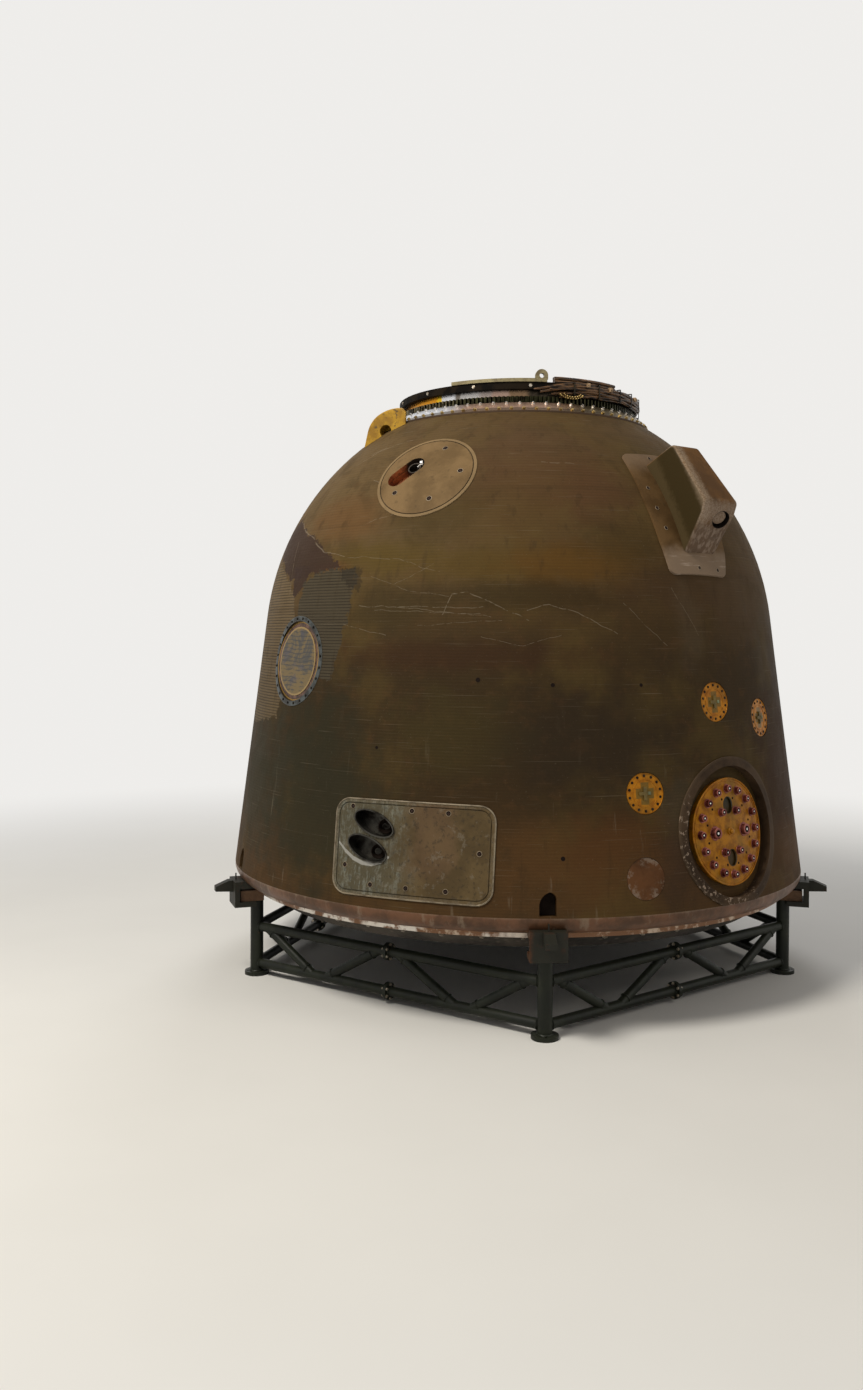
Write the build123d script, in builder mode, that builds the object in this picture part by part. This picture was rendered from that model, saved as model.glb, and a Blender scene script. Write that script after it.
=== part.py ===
from build123d import *
import math
import os

# A space capsule that stands on a five-legged truss.
# Lengths are millimetres. +Z is up, the origin is on the capsule's axis at the floor, and the
# front lock is on -Y. A turn is an angle in degrees from the front towards +X.

# Gaps
seat_gap = 0.3
hinge_gap = 0.5

# Hull: a cone that leans in under a round dome
wall_foot_radius = 1245
wall_foot_height = 500
wall_lean = 7.2
wall_bottom = 445
dome_centre = 1383
hull_wall = 60
lip_inset = 55
lip_top = 382
lip_thickness = 20
lip_width = 90
lip_step = 4
dish_rim_inset = 25
dish_knee_inset = 90
dish_knee_height = 300
dish_low = 250
dish_wall = 26
motor_count = 6
motor_circle = 420
motor_radius = 95
motor_reach = 14

# Hatch ring on the crown
flange_outer = 590
flange_slope = 47
flange_rise = 47.7
ring_inset = 60
collar_inset = 30
collar_wall = 60
crown_clearance = 25
toothed_thickness = 29
tooth_count = 180
tooth_depth = 10
ring_gap = 29
ring_thickness = 29
ring_bolt_inset = 45
ring_bolt_count = 12
ring_bolt_radius = 6
ring_bolt_depth = 20
seat_width = 60
seat_lap = 20
seat_drop = 58
seat_thickness = 18
plate_over = 6
plate_width = 66
plate_thickness = 14
plate_turns = (-36, 8)
eye_radius = 26
eye_bore = 10
eye_width = 16
cable_count = 4
cable_radius = 7
cable_turns = (12, 48)

# Hatch lid, hinged at the front edge inside
lid_lap = 30
lid_rim = 20
lid_bulge = 38
lid_wheel_radius = 110
lid_wheel_wire = 11
lid_wheel_drop = 70
lid_hub_radius = 34
hinge_reach = 42
hinge_drop = 32
hinge_pin_radius = 12
hinge_eye_radius = 24
hinge_eye_width = 60
hinge_ear_thickness = 18

# Round cover on the dome, with a slot that a nozzle looks out of
cover_turn = -28.5
cover_rise = 36.825
cover_radius = 207
cover_depth = 20
cover_proud = 4
cover_rim = 12
cover_groove = 3
slot_place = (-91, 21)
slot_length = 168
slot_width = 82
slot_tilt = 46.5
slot_well = 50
jet_place = (-66, 48)
jet_radius = 27
jet_wall = 5

# Fairing on the dome to the right
fairing_turn = 35.5
fairing_rise = 27.372
fairing_plate = ((-171, 303), (-190, 60), (-187, -110), (-172, -244), (130, -250), (166, -150),
                 (190, 20), (195, 200), (150, 310))
fairing_plate_thickness = 8
fairing_left = -85
fairing_right = 114
fairing_foot_right = 82
fairing_head_right = 62
fairing_profile = ((244, 29), (242, 131), (-34, 166), (-70, 136), (-160, 2))
fairing_ends = (-178, 244)
fairing_bend = 24
fairing_rounding = 16
outlet_place = (36, -84)
outlet_size = (44, 34)
outlet_depth = 34
outlet_plug = (36, 26)
outlet_plug_shift = (-6, 6)
outlet_plug_sunk = 8

# Yellow hood beside the ring, at the left
hood_turn = -24
hood_inset = 83
hood_depth = 100
hood_left = ((-545, -240), (-508, -83))
hood_shoulder = ((-485, -34), (-440, 0))
hood_top = ((-395, 14), (-345, 15))
hood_right = ((-327, -3), (-327, -240))
hood_bend = 8
hood_gap = 6
cave_place = (-420, -80)
cave_radius = 27
cave_depth = 60

# Parachute bay in the back of the dome
bay_turn = 152
bay_rise = 39.613
bay_radius = 200
bay_depth = 190
bay_wall = 8
bay_lip = 22
bay_lip_width = 20

# Thruster panels, one at the front and one opposite
panel_turn = -23.5
panel_height = 660
panel_width = 630
panel_tall = 352
panel_corner = 60
panel_depth = 24
panel_proud = 3
panel_border = 15
panel_groove = 4
nozzle_places = ((-145, 88), (-168, -4))
nozzle_size = (84, 38)
nozzle_tilt = -20
nozzle_wall = 5
nozzle_depth = 52
nozzle_proud = 10

# Portholes, one each side
porthole_turn = -55.4
porthole_margin = 14
porthole_radius = 180
glass_radius = 138
glass_thickness = 18
glass_depth = 26
frame_step = 8
frame_ledge_radius = 160
frame_ledge_depth = 10

# Round bolted plates on the side wall: turn, height
plate_places = ((35.0, 1190), (50.3, 1118), (17.6, 870))
small_plate_radius = 75
small_plate_thickness = 10
small_plate_depth = 4
cross_radius = 24
cross_bar = 12
cross_height = 5
worn_plate_place = (16.9, 570)

# Umbilical plate in its round recess
umbilical_turn = 37.0
umbilical_height = 706
umbilical_rim_outer = 280
umbilical_rim_inner = 245
umbilical_rim_proud = 6
umbilical_recess = 34
umbilical_plate_radius = 200
umbilical_plate_thickness = 16
pin_circle = 160
pin_count = 16
inner_pin_circle = 86
inner_pin_turns = (60, 120, 240, 300)
large_pin_turns = (0, 180)
pin_radius = 13
large_pin_radius = 20
socket_place = 98
socket_size = (20, 30)
socket_depth = 6
pin_height = 14

# Stand: legs, chords, diagonals and the locks that hold the hull's lip
leg_count = 5
leg_inset = 10
leg_radius = 27
foot_radius = 50
foot_thickness = 15
foot_hole_offset = 38
foot_hole_radius = 5.5
chord_radius = 19.5
low_chord_height = 47
high_chord_height = 202
diagonal_radius = 18
diagonal_spread = 34
joint_radius = 34
joint_thickness = 8
bracket_over = 22
bracket_under = 64
bracket_floor = 20
bracket_roof = 30
bracket_web = 20
bracket_reach = 95
bracket_start = 5
bracket_width = 134
block_under = 30
block_gap = 7
block_width = 96
tongue_reach = 72
tongue_bend = 17
tongue_width = 40
tongue_thickness = 47
tongue_drops = (43, 23)
lock_pin_radius = 3
lock_pin_height = 27
lock_pin_inset = 15
pocket_width = 62
pocket_low = 452
pocket_tall = 84
pocket_depth = 34
pocket_liner = 4

# Values that follow from those above
lean = math.radians(wall_lean)
dome_radius = (wall_foot_radius - (dome_centre - wall_foot_height) * math.tan(lean)) * math.cos(lean)
seam_height = dome_centre + dome_radius * math.sin(lean)
patch_reach = 160
leg_turns = [360 / leg_count * index for index in range(leg_count)]
lip_low = lip_top - lip_thickness
flange_crest = flange_outer - flange_slope
ring_radius = flange_outer - ring_inset
collar_radius = ring_radius - collar_inset
collar_bore = collar_radius - collar_wall
crown_bore = collar_radius + crown_clearance
seat_bore = collar_bore - seat_width
plate_radius = ring_radius + plate_over
lid_radius = seat_bore + lid_lap
hinge_offset = lid_radius + hinge_reach
lip_radius = wall_foot_radius - lip_inset
lip_bore = lip_radius - lip_width
shoulder_foot = lip_radius + lip_step
dish_rim_radius = lip_radius - dish_rim_inset
dish_knee_radius = dish_rim_radius - dish_knee_inset
leg_circle = lip_radius - leg_inset
porthole_height = seam_height - porthole_margin - porthole_radius
bracket_top = lip_top + bracket_over
bracket_low = lip_low - bracket_under
bracket_outer = lip_radius + bracket_reach
bracket_inner = lip_radius + bracket_start
block_low = bracket_low + bracket_floor
block_outer = bracket_outer - bracket_web - block_gap
block_inner = lip_radius - block_under
tongue_outer = bracket_outer + tongue_reach


def wall_radius(height, depth=0.0):
    """Radius of the side wall at a height, depth inside its skin."""
    return wall_foot_radius - (height - wall_foot_height) * math.tan(lean) - depth / math.cos(lean)


def dome_height(radius, depth=0.0):
    """Height of the dome at a radius from the axis, depth inside its skin."""
    return dome_centre + math.sqrt((dome_radius - depth) ** 2 - radius ** 2)


flange_top = dome_height(flange_outer) + flange_rise
toothed_top = flange_top + toothed_thickness
neck_top = toothed_top + ring_gap
ring_top = neck_top + ring_thickness
seat_top = flange_top - seat_drop


def risen_height(rise):
    """Height on the dome's skin at an angle above level, seen from the dome's centre."""
    return dome_centre + dome_radius * math.sin(math.radians(rise))


def outward(turn):
    """Level direction out of the hull at a turn."""
    return Vector(math.sin(math.radians(turn)), -math.cos(math.radians(turn)), 0)


def sideways(turn):
    """Level direction along the hull at a turn, to the right seen from outside."""
    return Vector(math.cos(math.radians(turn)), math.sin(math.radians(turn)), 0)


def skin_plane(turn, height):
    """Plane that touches the hull's skin, with x to the right, y up the skin and z out."""
    if height > seam_height:
        rise = math.asin((height - dome_centre) / dome_radius)
        radius = dome_radius * math.cos(rise)
    else:
        rise = lean
        radius = wall_radius(height)
    normal = outward(turn) * math.cos(rise) + Vector(0, 0, math.sin(rise))
    return Plane(outward(turn) * radius + Vector(0, 0, height), x_dir=sideways(turn), z_dir=normal)


def radial_plane(turn):
    """Upright plane through the axis at a turn, with x out and y up."""
    return Plane((0, 0, 0), x_dir=outward(turn), z_dir=-sideways(turn))


def hull_form(depth, foot=wall_bottom):
    """Everything inside the hull's skin less a depth, above a foot height."""
    radius = dome_radius - depth
    with BuildPart() as form:
        with BuildSketch(Plane.XZ):
            with BuildLine():
                Line((0, foot), (wall_radius(foot, depth), foot))
                Line((wall_radius(foot, depth), foot),
                     (radius * math.cos(lean), dome_centre + radius * math.sin(lean)))
                CenterArc((0, dome_centre), radius, wall_lean, 90 - wall_lean)
                Line((0, dome_centre + radius), (0, foot))
            make_face()
        revolve(axis=Axis.Z)
    return form.part


def skin_patch(outline, planes, outer, inner):
    """Layer of the hull within an outline, from outer above the skin to inner below it."""
    with BuildPart() as patch:
        add(hull_form(-outer))
        add(hull_form(inner), mode=Mode.SUBTRACT)
        with BuildSketch(*planes):
            outline()
        extrude(amount=patch_reach, both=True, mode=Mode.INTERSECT)
    return patch.part


porthole_planes = [skin_plane(porthole_turn, porthole_height),
                   skin_plane(porthole_turn + 180, porthole_height)]
panel_planes = [skin_plane(panel_turn, panel_height), skin_plane(panel_turn + 180, panel_height)]
plate_planes = [skin_plane(turn, height) for turn, height in plate_places]
worn_plane = skin_plane(*worn_plate_place)
umbilical_plane = skin_plane(umbilical_turn, umbilical_height)
cover_plane = skin_plane(cover_turn, risen_height(cover_rise))
fairing_plane = skin_plane(fairing_turn, risen_height(fairing_rise))
bay_plane = skin_plane(bay_turn, risen_height(bay_rise))
pocket_planes = [skin_plane(turn, pocket_low) for turn in leg_turns]


def panel_outline(grow=0.0):
    """Rounded rectangle of a thruster panel."""
    RectangleRounded(panel_width + 2 * grow, panel_tall + 2 * grow, panel_corner + grow)


def nozzle_outline(grow=0.0):
    """The two slanted ovals of a panel's nozzles."""
    with Locations(*nozzle_places):
        Ellipse(nozzle_size[0] + grow, nozzle_size[1] + grow, rotation=nozzle_tilt)


def panel_groove_outline():
    """Thin groove inside a thruster panel's edge."""
    panel_outline(-panel_border)
    inside = panel_border + panel_groove
    RectangleRounded(panel_width - 2 * inside, panel_tall - 2 * inside, panel_corner - inside,
                     mode=Mode.SUBTRACT)


def cover_groove_outline():
    """Thin groove inside the round cover's edge."""
    Circle(cover_radius - cover_rim)
    Circle(cover_radius - cover_rim - cover_groove, mode=Mode.SUBTRACT)


def slot_outline(grow=0.0):
    """Slanted slot in the round cover."""
    with Locations(slot_place):
        SlotOverall(slot_length + 2 * grow, slot_width + 2 * grow, rotation=slot_tilt)


def socket_outline():
    """The two upright ovals sunk in the umbilical plate."""
    with Locations((0, socket_place), (0, -socket_place)):
        Ellipse(*socket_size)


def pocket_outline(shrink=0.0):
    """Arched lock pocket, with its crown right of the middle."""
    half = pocket_width / 2 - shrink
    crown = (half * 0.25, pocket_tall - shrink)
    right_spring = (half, pocket_tall * 0.6)
    left_spring = (-half, pocket_tall * 0.4)
    with BuildLine() as arch:
        Line((-half, shrink), (half, shrink))
        Line((half, shrink), right_spring)
        ThreePointArc(right_spring, (half * 0.8, pocket_tall * 0.88 - shrink), crown)
        ThreePointArc(crown, (-half * 0.6, pocket_tall * 0.8 - shrink), left_spring)
        Line(left_spring, (-half, shrink))
    make_face(arch.edges())


# Side wall
panel_pocket = skin_patch(lambda: panel_outline(seat_gap), panel_planes, patch_reach, panel_depth + seat_gap)
nozzle_pocket = skin_patch(lambda: nozzle_outline(nozzle_wall + seat_gap), panel_planes, patch_reach,
                           nozzle_depth + seat_gap)
umbilical_pocket = skin_patch(lambda: Circle(umbilical_rim_outer + seat_gap), [umbilical_plane],
                              patch_reach, umbilical_recess + seat_gap)
lock_pocket = skin_patch(pocket_outline, pocket_planes, patch_reach, pocket_depth)
small_plate_pocket_depth = small_plate_depth + small_plate_thickness + seat_gap
with BuildPart() as side_wall:
    with BuildSketch(Plane.XZ):
        with BuildLine():
            Polyline((wall_radius(wall_bottom), wall_bottom),
                     (wall_radius(seam_height), seam_height),
                     (wall_radius(seam_height, hull_wall), seam_height),
                     (wall_radius(wall_bottom, hull_wall), wall_bottom), close=True)
        make_face()
    revolve(axis=Axis.Z)
    with BuildSketch(*porthole_planes):
        Circle(porthole_radius + seat_gap)
    extrude(amount=patch_reach, both=True, mode=Mode.SUBTRACT)
    with BuildSketch(*plate_planes, worn_plane):
        Circle(small_plate_radius + seat_gap + 1)
    extrude(amount=-small_plate_pocket_depth, mode=Mode.SUBTRACT)
    add(panel_pocket, mode=Mode.SUBTRACT)
    add(nozzle_pocket, mode=Mode.SUBTRACT)
    add(umbilical_pocket, mode=Mode.SUBTRACT)
    add(lock_pocket, mode=Mode.SUBTRACT)

# Dome, with the crown open for the hatch ring
cover_pocket = skin_patch(lambda: Circle(cover_radius + seat_gap), [cover_plane], patch_reach,
                          cover_depth + seat_gap)
slot_pocket = skin_patch(lambda: slot_outline(), [cover_plane], patch_reach, slot_well)
with BuildPart() as dome_shell:
    add(hull_form(0))
    add(hull_form(hull_wall), mode=Mode.SUBTRACT)
    split(bisect_by=Plane.XY.offset(seam_height))
    with BuildSketch(Plane.XY.offset(seam_height)):
        Circle(crown_bore)
    extrude(amount=dome_radius, mode=Mode.SUBTRACT)
    with BuildSketch(bay_plane):
        Circle(bay_radius)
    extrude(amount=patch_reach, both=True, mode=Mode.SUBTRACT)
    add(cover_pocket, mode=Mode.SUBTRACT)
    add(slot_pocket, mode=Mode.SUBTRACT)

# Shoulder under the side wall, curved in to the lip
with BuildPart() as base_ring:
    with BuildSketch(Plane.XZ):
        with BuildLine():
            corner = (wall_radius(wall_bottom), wall_bottom)
            TangentArc(corner, (shoulder_foot, lip_top), tangent=(math.tan(lean), -1))
            Line((shoulder_foot, lip_top), (lip_bore, lip_top))
            Line((lip_bore, lip_top), (wall_radius(wall_bottom, hull_wall), wall_bottom))
            Line((wall_radius(wall_bottom, hull_wall), wall_bottom), corner)
        make_face()
    revolve(axis=Axis.Z)

with BuildPart() as lip_flange:
    with BuildSketch(Plane.XY.offset(lip_low)):
        Circle(lip_radius)
        Circle(lip_bore, mode=Mode.SUBTRACT)
    extrude(amount=lip_thickness)

# Bottom dish under the lip
with BuildPart() as base_dish:
    with BuildSketch(Plane.XZ):
        with BuildLine():
            Line((dish_rim_radius, lip_low), (dish_knee_radius, dish_knee_height))
            TangentArc((0, dish_low), (dish_knee_radius, dish_knee_height), tangent=(1, 0))
            Line((0, dish_low), (0, dish_low + dish_wall))
            TangentArc((0, dish_low + dish_wall),
                       (dish_knee_radius - dish_wall, dish_knee_height + dish_wall), tangent=(1, 0))
            Line((dish_knee_radius - dish_wall, dish_knee_height + dish_wall), (lip_bore, lip_low))
            Line((lip_bore, lip_low), (dish_rim_radius, lip_low))
        make_face()
    revolve(axis=Axis.Z)
    with BuildSketch(Plane.XY.offset(dish_low - dish_wall)):
        with PolarLocations(motor_circle, motor_count):
            Circle(motor_radius + seat_gap)
    extrude(amount=4 * dish_wall, mode=Mode.SUBTRACT)

with BuildPart() as landing_motors:
    with BuildSketch(Plane.XY.offset(dish_low - motor_reach / 2)):
        with PolarLocations(motor_circle, motor_count):
            Circle(motor_radius)
    extrude(amount=dish_wall + motor_reach + 10)
    with BuildSketch(Plane.XY.offset(dish_low - motor_reach / 2)):
        with PolarLocations(motor_circle, motor_count):
            Circle(motor_radius * 0.62)
    extrude(amount=motor_reach, taper=20, mode=Mode.SUBTRACT)

# Hatch ring: flange on the dome, neck, toothed ring and top ring
with BuildPart() as hatch_flange:
    with BuildSketch(Plane.XZ):
        with BuildLine():
            seat_radius = dome_radius + seat_gap
            outer_low = (flange_outer, dome_centre + math.sqrt(seat_radius ** 2 - flange_outer ** 2))
            inner_low = (crown_bore - seat_gap,
                         dome_centre + math.sqrt(seat_radius ** 2 - (crown_bore - seat_gap) ** 2))
            RadiusArc(inner_low, outer_low, seat_radius)
            Polyline(outer_low, (flange_outer - 2, outer_low[1] + 8), (flange_crest, flange_top),
                     (collar_radius, flange_top), (collar_radius, seat_top),
                     (crown_bore - seat_gap, seat_top), inner_low)
        make_face()
    revolve(axis=Axis.Z)

with BuildPart() as hatch_neck:
    with BuildSketch(Plane.XY.offset(seat_top)):
        Circle(collar_radius - seat_gap)
        Circle(collar_bore, mode=Mode.SUBTRACT)
    extrude(amount=neck_top - seat_top)

# Teeth round the edge of a flat ring, drawn as one outline: a tooth fills half of its pitch
tooth_corners = []
for index in range(tooth_count):
    for share, reach in ((0.0, ring_radius - tooth_depth), (0.16, ring_radius), (0.5, ring_radius),
                         (0.66, ring_radius - tooth_depth)):
        angle = 2 * math.pi * (index + share) / tooth_count
        tooth_corners.append((reach * math.cos(angle), reach * math.sin(angle)))
with BuildPart() as toothed_ring:
    with BuildSketch(Plane.XY.offset(flange_top)):
        with BuildLine():
            Polyline(*tooth_corners, close=True)
        make_face()
        Circle(collar_radius, mode=Mode.SUBTRACT)
    extrude(amount=toothed_top - flange_top)

with BuildPart() as hatch_top_ring:
    with BuildSketch(Plane.XY.offset(neck_top)):
        Circle(ring_radius)
        Circle(collar_bore, mode=Mode.SUBTRACT)
    extrude(amount=ring_top - neck_top)
    with BuildSketch(Plane.XY.offset(ring_top)):
        with PolarLocations(ring_radius - ring_bolt_inset, ring_bolt_count, start_angle=15):
            Circle(ring_bolt_radius)
    extrude(amount=-ring_bolt_depth, mode=Mode.SUBTRACT)


def ring_sector(inner, outer, turns):
    """Flat sector of a ring between two turns, drawn in the current sketch."""
    start, end = (math.radians(turn - 90) for turn in turns)
    middle = (start + end) / 2
    with BuildLine() as sector:
        Line((inner * math.cos(start), inner * math.sin(start)),
             (outer * math.cos(start), outer * math.sin(start)))
        ThreePointArc((outer * math.cos(start), outer * math.sin(start)),
                      (outer * math.cos(middle), outer * math.sin(middle)),
                      (outer * math.cos(end), outer * math.sin(end)))
        Line((outer * math.cos(end), outer * math.sin(end)),
             (inner * math.cos(end), inner * math.sin(end)))
        ThreePointArc((inner * math.cos(end), inner * math.sin(end)),
                      (inner * math.cos(middle), inner * math.sin(middle)),
                      (inner * math.cos(start), inner * math.sin(start)))
    make_face(sector.edges())


# Arc of plate on the top ring, with an upright eye at its right end
with BuildPart() as ring_plate:
    with BuildSketch(Plane.XY.offset(ring_top)):
        ring_sector(plate_radius - plate_width, plate_radius, plate_turns)
    extrude(amount=plate_thickness)
    eye_centre = outward(plate_turns[1] - 2) * (ring_radius - 20)
    eye_plane = Plane(eye_centre + Vector(0, 0, ring_top + plate_thickness),
                      x_dir=sideways(plate_turns[1] - 2), z_dir=outward(plate_turns[1] - 2))
    with BuildSketch(eye_plane):
        with Locations((0, eye_radius * 0.6)):
            Circle(eye_radius)
        with Locations((0, -1)):
            Rectangle(2 * eye_radius, 2 + eye_radius)
        with Locations((0, -2 * eye_radius)):
            Rectangle(4 * eye_radius, 4 * eye_radius, mode=Mode.SUBTRACT)
        with Locations((0, eye_radius * 0.6)):
            Circle(eye_bore, mode=Mode.SUBTRACT)
    extrude(amount=eye_width / 2, both=True)

with BuildPart() as ring_cables:
    for index in range(cable_count):
        row = index % 2
        level = index // 2
        cable_circle = ring_radius - 16 - row * (2 * cable_radius + 2)
        cable_height = ring_top + cable_radius + level * (2 * cable_radius + seat_gap)
        with BuildSketch(Plane(outward(cable_turns[0]) * cable_circle + Vector(0, 0, cable_height),
                               x_dir=outward(cable_turns[0]), z_dir=sideways(cable_turns[0]))):
            Circle(cable_radius)
        revolve(axis=Axis.Z, revolution_arc=cable_turns[1] - cable_turns[0])

# Hatch seat inside the crown, with the ears of the lid's hinge
ear_reach = (hinge_eye_width + hinge_ear_thickness) / 2 + hinge_gap
hinge_height = seat_top - seat_thickness - hinge_drop
hinge_centre = Vector(0, -hinge_offset, hinge_height)
with BuildPart() as hatch_seat:
    with BuildSketch(Plane.XY.offset(seat_top)):
        Circle(collar_radius + seat_lap)
        Circle(seat_bore, mode=Mode.SUBTRACT)
    extrude(amount=-seat_thickness)

with BuildPart() as hinge_ears:
    with BuildSketch(Plane.YZ.offset(ear_reach), Plane.YZ.offset(-ear_reach)):
        with Locations((-hinge_offset, hinge_height)):
            Circle(hinge_eye_radius)
        with Locations((-hinge_offset, hinge_height + hinge_drop / 2)):
            Rectangle(2 * hinge_eye_radius, hinge_drop)
        with Locations((-hinge_offset, hinge_height)):
            Circle(hinge_pin_radius, mode=Mode.SUBTRACT)
    extrude(amount=hinge_ear_thickness / 2, both=True)

with BuildPart() as hinge_pin:
    with BuildSketch(Plane.YZ.offset(-ear_reach - hinge_ear_thickness / 2)):
        with Locations((-hinge_offset, hinge_height)):
            Circle(hinge_pin_radius - 0.02)
    extrude(amount=2 * ear_reach + hinge_ear_thickness)

# Lid under its seat, with the arm of the hinge and a hand wheel on its underside
lid_top = seat_top - seat_thickness - seat_gap
lid_low = lid_top - lid_rim
with BuildPart() as hatch_lid:
    with BuildSketch(Plane.XZ):
        with BuildLine():
            Line((0, lid_top + lid_bulge), (0, lid_low + lid_bulge))
            TangentArc((0, lid_low + lid_bulge), (seat_bore - 30, lid_low), tangent=(1, 0))
            Polyline((seat_bore - 30, lid_low), (lid_radius, lid_low), (lid_radius, lid_top),
                     (seat_bore - 20, lid_top))
            TangentArc((0, lid_top + lid_bulge), (seat_bore - 20, lid_top), tangent=(1, 0))
        make_face()
    revolve(axis=Axis.Z)

with BuildPart() as lid_arm:
    with BuildSketch(Plane.YZ):
        with BuildLine():
            Polyline((-hinge_offset, hinge_height - hinge_eye_radius),
                     (-hinge_offset + 150, lid_low - 10),
                     (-hinge_offset + 150, lid_low),
                     (-hinge_offset + 44, lid_low),
                     (-hinge_offset, hinge_height + hinge_eye_radius - 8), close=True)
        make_face()
        with Locations((-hinge_offset, hinge_height)):
            Circle(hinge_eye_radius - 6)
            Circle(hinge_pin_radius + 0.05, mode=Mode.SUBTRACT)
    extrude(amount=hinge_eye_width / 2, both=True)

wheel_height = lid_low - lid_wheel_drop
with BuildPart() as lid_wheel:
    with BuildSketch(Plane.XZ):
        with Locations((lid_wheel_radius, wheel_height)):
            Circle(lid_wheel_wire)
    revolve(axis=Axis.Z)
    with BuildSketch(Plane.XY.offset(wheel_height - lid_wheel_wire)):
        Circle(lid_hub_radius)
    extrude(amount=lid_wheel_drop + lid_wheel_wire + lid_bulge - 1)
    for turn in (0, 120, 240):
        with BuildSketch(Plane((0, 0, wheel_height), x_dir=(0, 0, 1), z_dir=outward(turn))):
            Circle(lid_wheel_wire * 0.7)
        extrude(amount=lid_wheel_radius)

# Round cover, and the jet behind its slot
with BuildPart() as round_cover:
    add(skin_patch(lambda: Circle(cover_radius), [cover_plane], cover_proud, cover_depth))
    add(skin_patch(cover_groove_outline, [cover_plane], patch_reach, -cover_proud + cover_groove),
        mode=Mode.SUBTRACT)
    with BuildSketch(cover_plane):
        slot_outline()
    extrude(amount=patch_reach, both=True, mode=Mode.SUBTRACT)

with BuildPart() as cover_jet:
    with BuildSketch(cover_plane.offset(-hull_wall)):
        with Locations(jet_place):
            Circle(jet_radius)
            Circle(jet_radius - jet_wall, mode=Mode.SUBTRACT)
    extrude(amount=hull_wall - 10)
    add(hull_form(slot_well - seat_gap), mode=Mode.SUBTRACT)

# Fairing and its base plate
with BuildPart() as fairing_base:
    with BuildSketch(fairing_plane):
        with BuildLine():
            Polyline(*fairing_plate, close=True)
        make_face()
        fillet(vertices(), 30)
    extrude(amount=patch_reach, both=True)
    add(hull_form(-fairing_plate_thickness - seat_gap), mode=Mode.INTERSECT)
    add(hull_form(-seat_gap), mode=Mode.SUBTRACT)

# The fairing's body is drawn from the side, cut in to its narrower foot and head, and its crest is
# rounded. The outlet is an oval hole in the slope that faces down, with a plug off its middle.
body_low, body_high = fairing_ends
fairing_crest, slope_crest, slope_foot = fairing_profile[-3:]
slope_rise = (slope_crest[1] - slope_foot[1]) / (slope_crest[0] - slope_foot[0])
outlet_lift = slope_foot[1] + (outlet_place[1] - slope_foot[0]) * slope_rise
outlet_plane = Plane(fairing_plane.from_local_coords(Vector(*outlet_place, outlet_lift)),
                     x_dir=fairing_plane.x_dir,
                     z_dir=fairing_plane.z_dir - fairing_plane.y_dir * slope_rise)


def on_fairing(edge):
    """Middle of an edge, seen from the plane that the fairing stands on."""
    return fairing_plane.to_local_coords(edge @ 0.5)


with BuildPart() as fairing_body:
    with BuildSketch(Plane(fairing_plane.origin + fairing_plane.x_dir * fairing_left,
                           x_dir=fairing_plane.y_dir, z_dir=fairing_plane.x_dir)):
        with BuildLine():
            side = FilletPolyline((body_high, -patch_reach / 2), *fairing_profile,
                                  (body_low, -patch_reach / 2), radius=fairing_bend)
            Line(side @ 0, side @ 1)
        make_face()
    extrude(amount=fairing_right - fairing_left)
    with BuildSketch(fairing_plane):
        with BuildLine():
            Polyline((fairing_left, body_low), (fairing_foot_right, body_low),
                     (fairing_right, fairing_crest[0]), (fairing_head_right, body_high),
                     (fairing_left, body_high), close=True)
        make_face()
    extrude(amount=2 * patch_reach, both=True, mode=Mode.INTERSECT)
    fillet([edge for edge in fairing_body.edges()
            if on_fairing(edge).Z > 20 and abs((edge % 0.5).dot(fairing_plane.x_dir)) < 0.5
            and (on_fairing(edge).X < fairing_left + 1 or on_fairing(edge).X > fairing_head_right - 1)],
           fairing_rounding)
    add(hull_form(-fairing_plate_thickness - 2 * seat_gap), mode=Mode.SUBTRACT)
    with BuildSketch(outlet_plane.offset(-outlet_depth)):
        Ellipse(*outlet_size)
    extrude(amount=outlet_depth + fairing_bend, mode=Mode.SUBTRACT)
    with BuildSketch(outlet_plane.offset(-outlet_depth)):
        with Locations(outlet_plug_shift):
            Ellipse(*outlet_plug)
    extrude(amount=outlet_depth - outlet_plug_sunk)

# Yellow hood at the left of the ring, with a cave in its foot
hood_plane = Plane(outward(hood_turn) * (flange_outer - hood_inset) + Vector(0, 0, flange_top),
                   x_dir=sideways(hood_turn), z_dir=outward(hood_turn))
with BuildPart() as yellow_hood:
    with BuildSketch(hood_plane):
        with BuildLine():
            Line(*hood_left)
            ThreePointArc(hood_left[1], *hood_shoulder)
            ThreePointArc(hood_shoulder[1], *hood_top)
            Polyline(hood_top[1], *hood_right, hood_left[0])
        make_face()
    extrude(amount=-hood_depth)
    fillet([edge for edge in yellow_hood.edges()
            if hood_plane.to_local_coords(edge @ 0.5).Y > hood_left[1][1]
            and abs(hood_plane.to_local_coords(edge @ 0.5).Z) < 1], hood_bend)
    with BuildSketch(hood_plane):
        with Locations(cave_place):
            Circle(cave_radius)
    extrude(amount=-cave_depth, mode=Mode.SUBTRACT)
    with BuildSketch(Plane.XY.offset(seam_height)):
        Circle(flange_outer + hood_gap)
    extrude(amount=dome_radius, mode=Mode.SUBTRACT)
    add(hull_form(-seat_gap), mode=Mode.SUBTRACT)

# Parachute bay: a liner cup with a lip
with BuildPart() as chute_bay:
    with BuildSketch(bay_plane.offset(-bay_depth)):
        Circle(bay_radius - seat_gap)
    extrude(amount=bay_depth + patch_reach)
    add(hull_form(0, seam_height - 200), mode=Mode.INTERSECT)
    with BuildSketch(bay_plane.offset(-bay_depth + bay_wall)):
        Circle(bay_radius - bay_wall)
    extrude(amount=bay_depth + patch_reach, mode=Mode.SUBTRACT)

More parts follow.
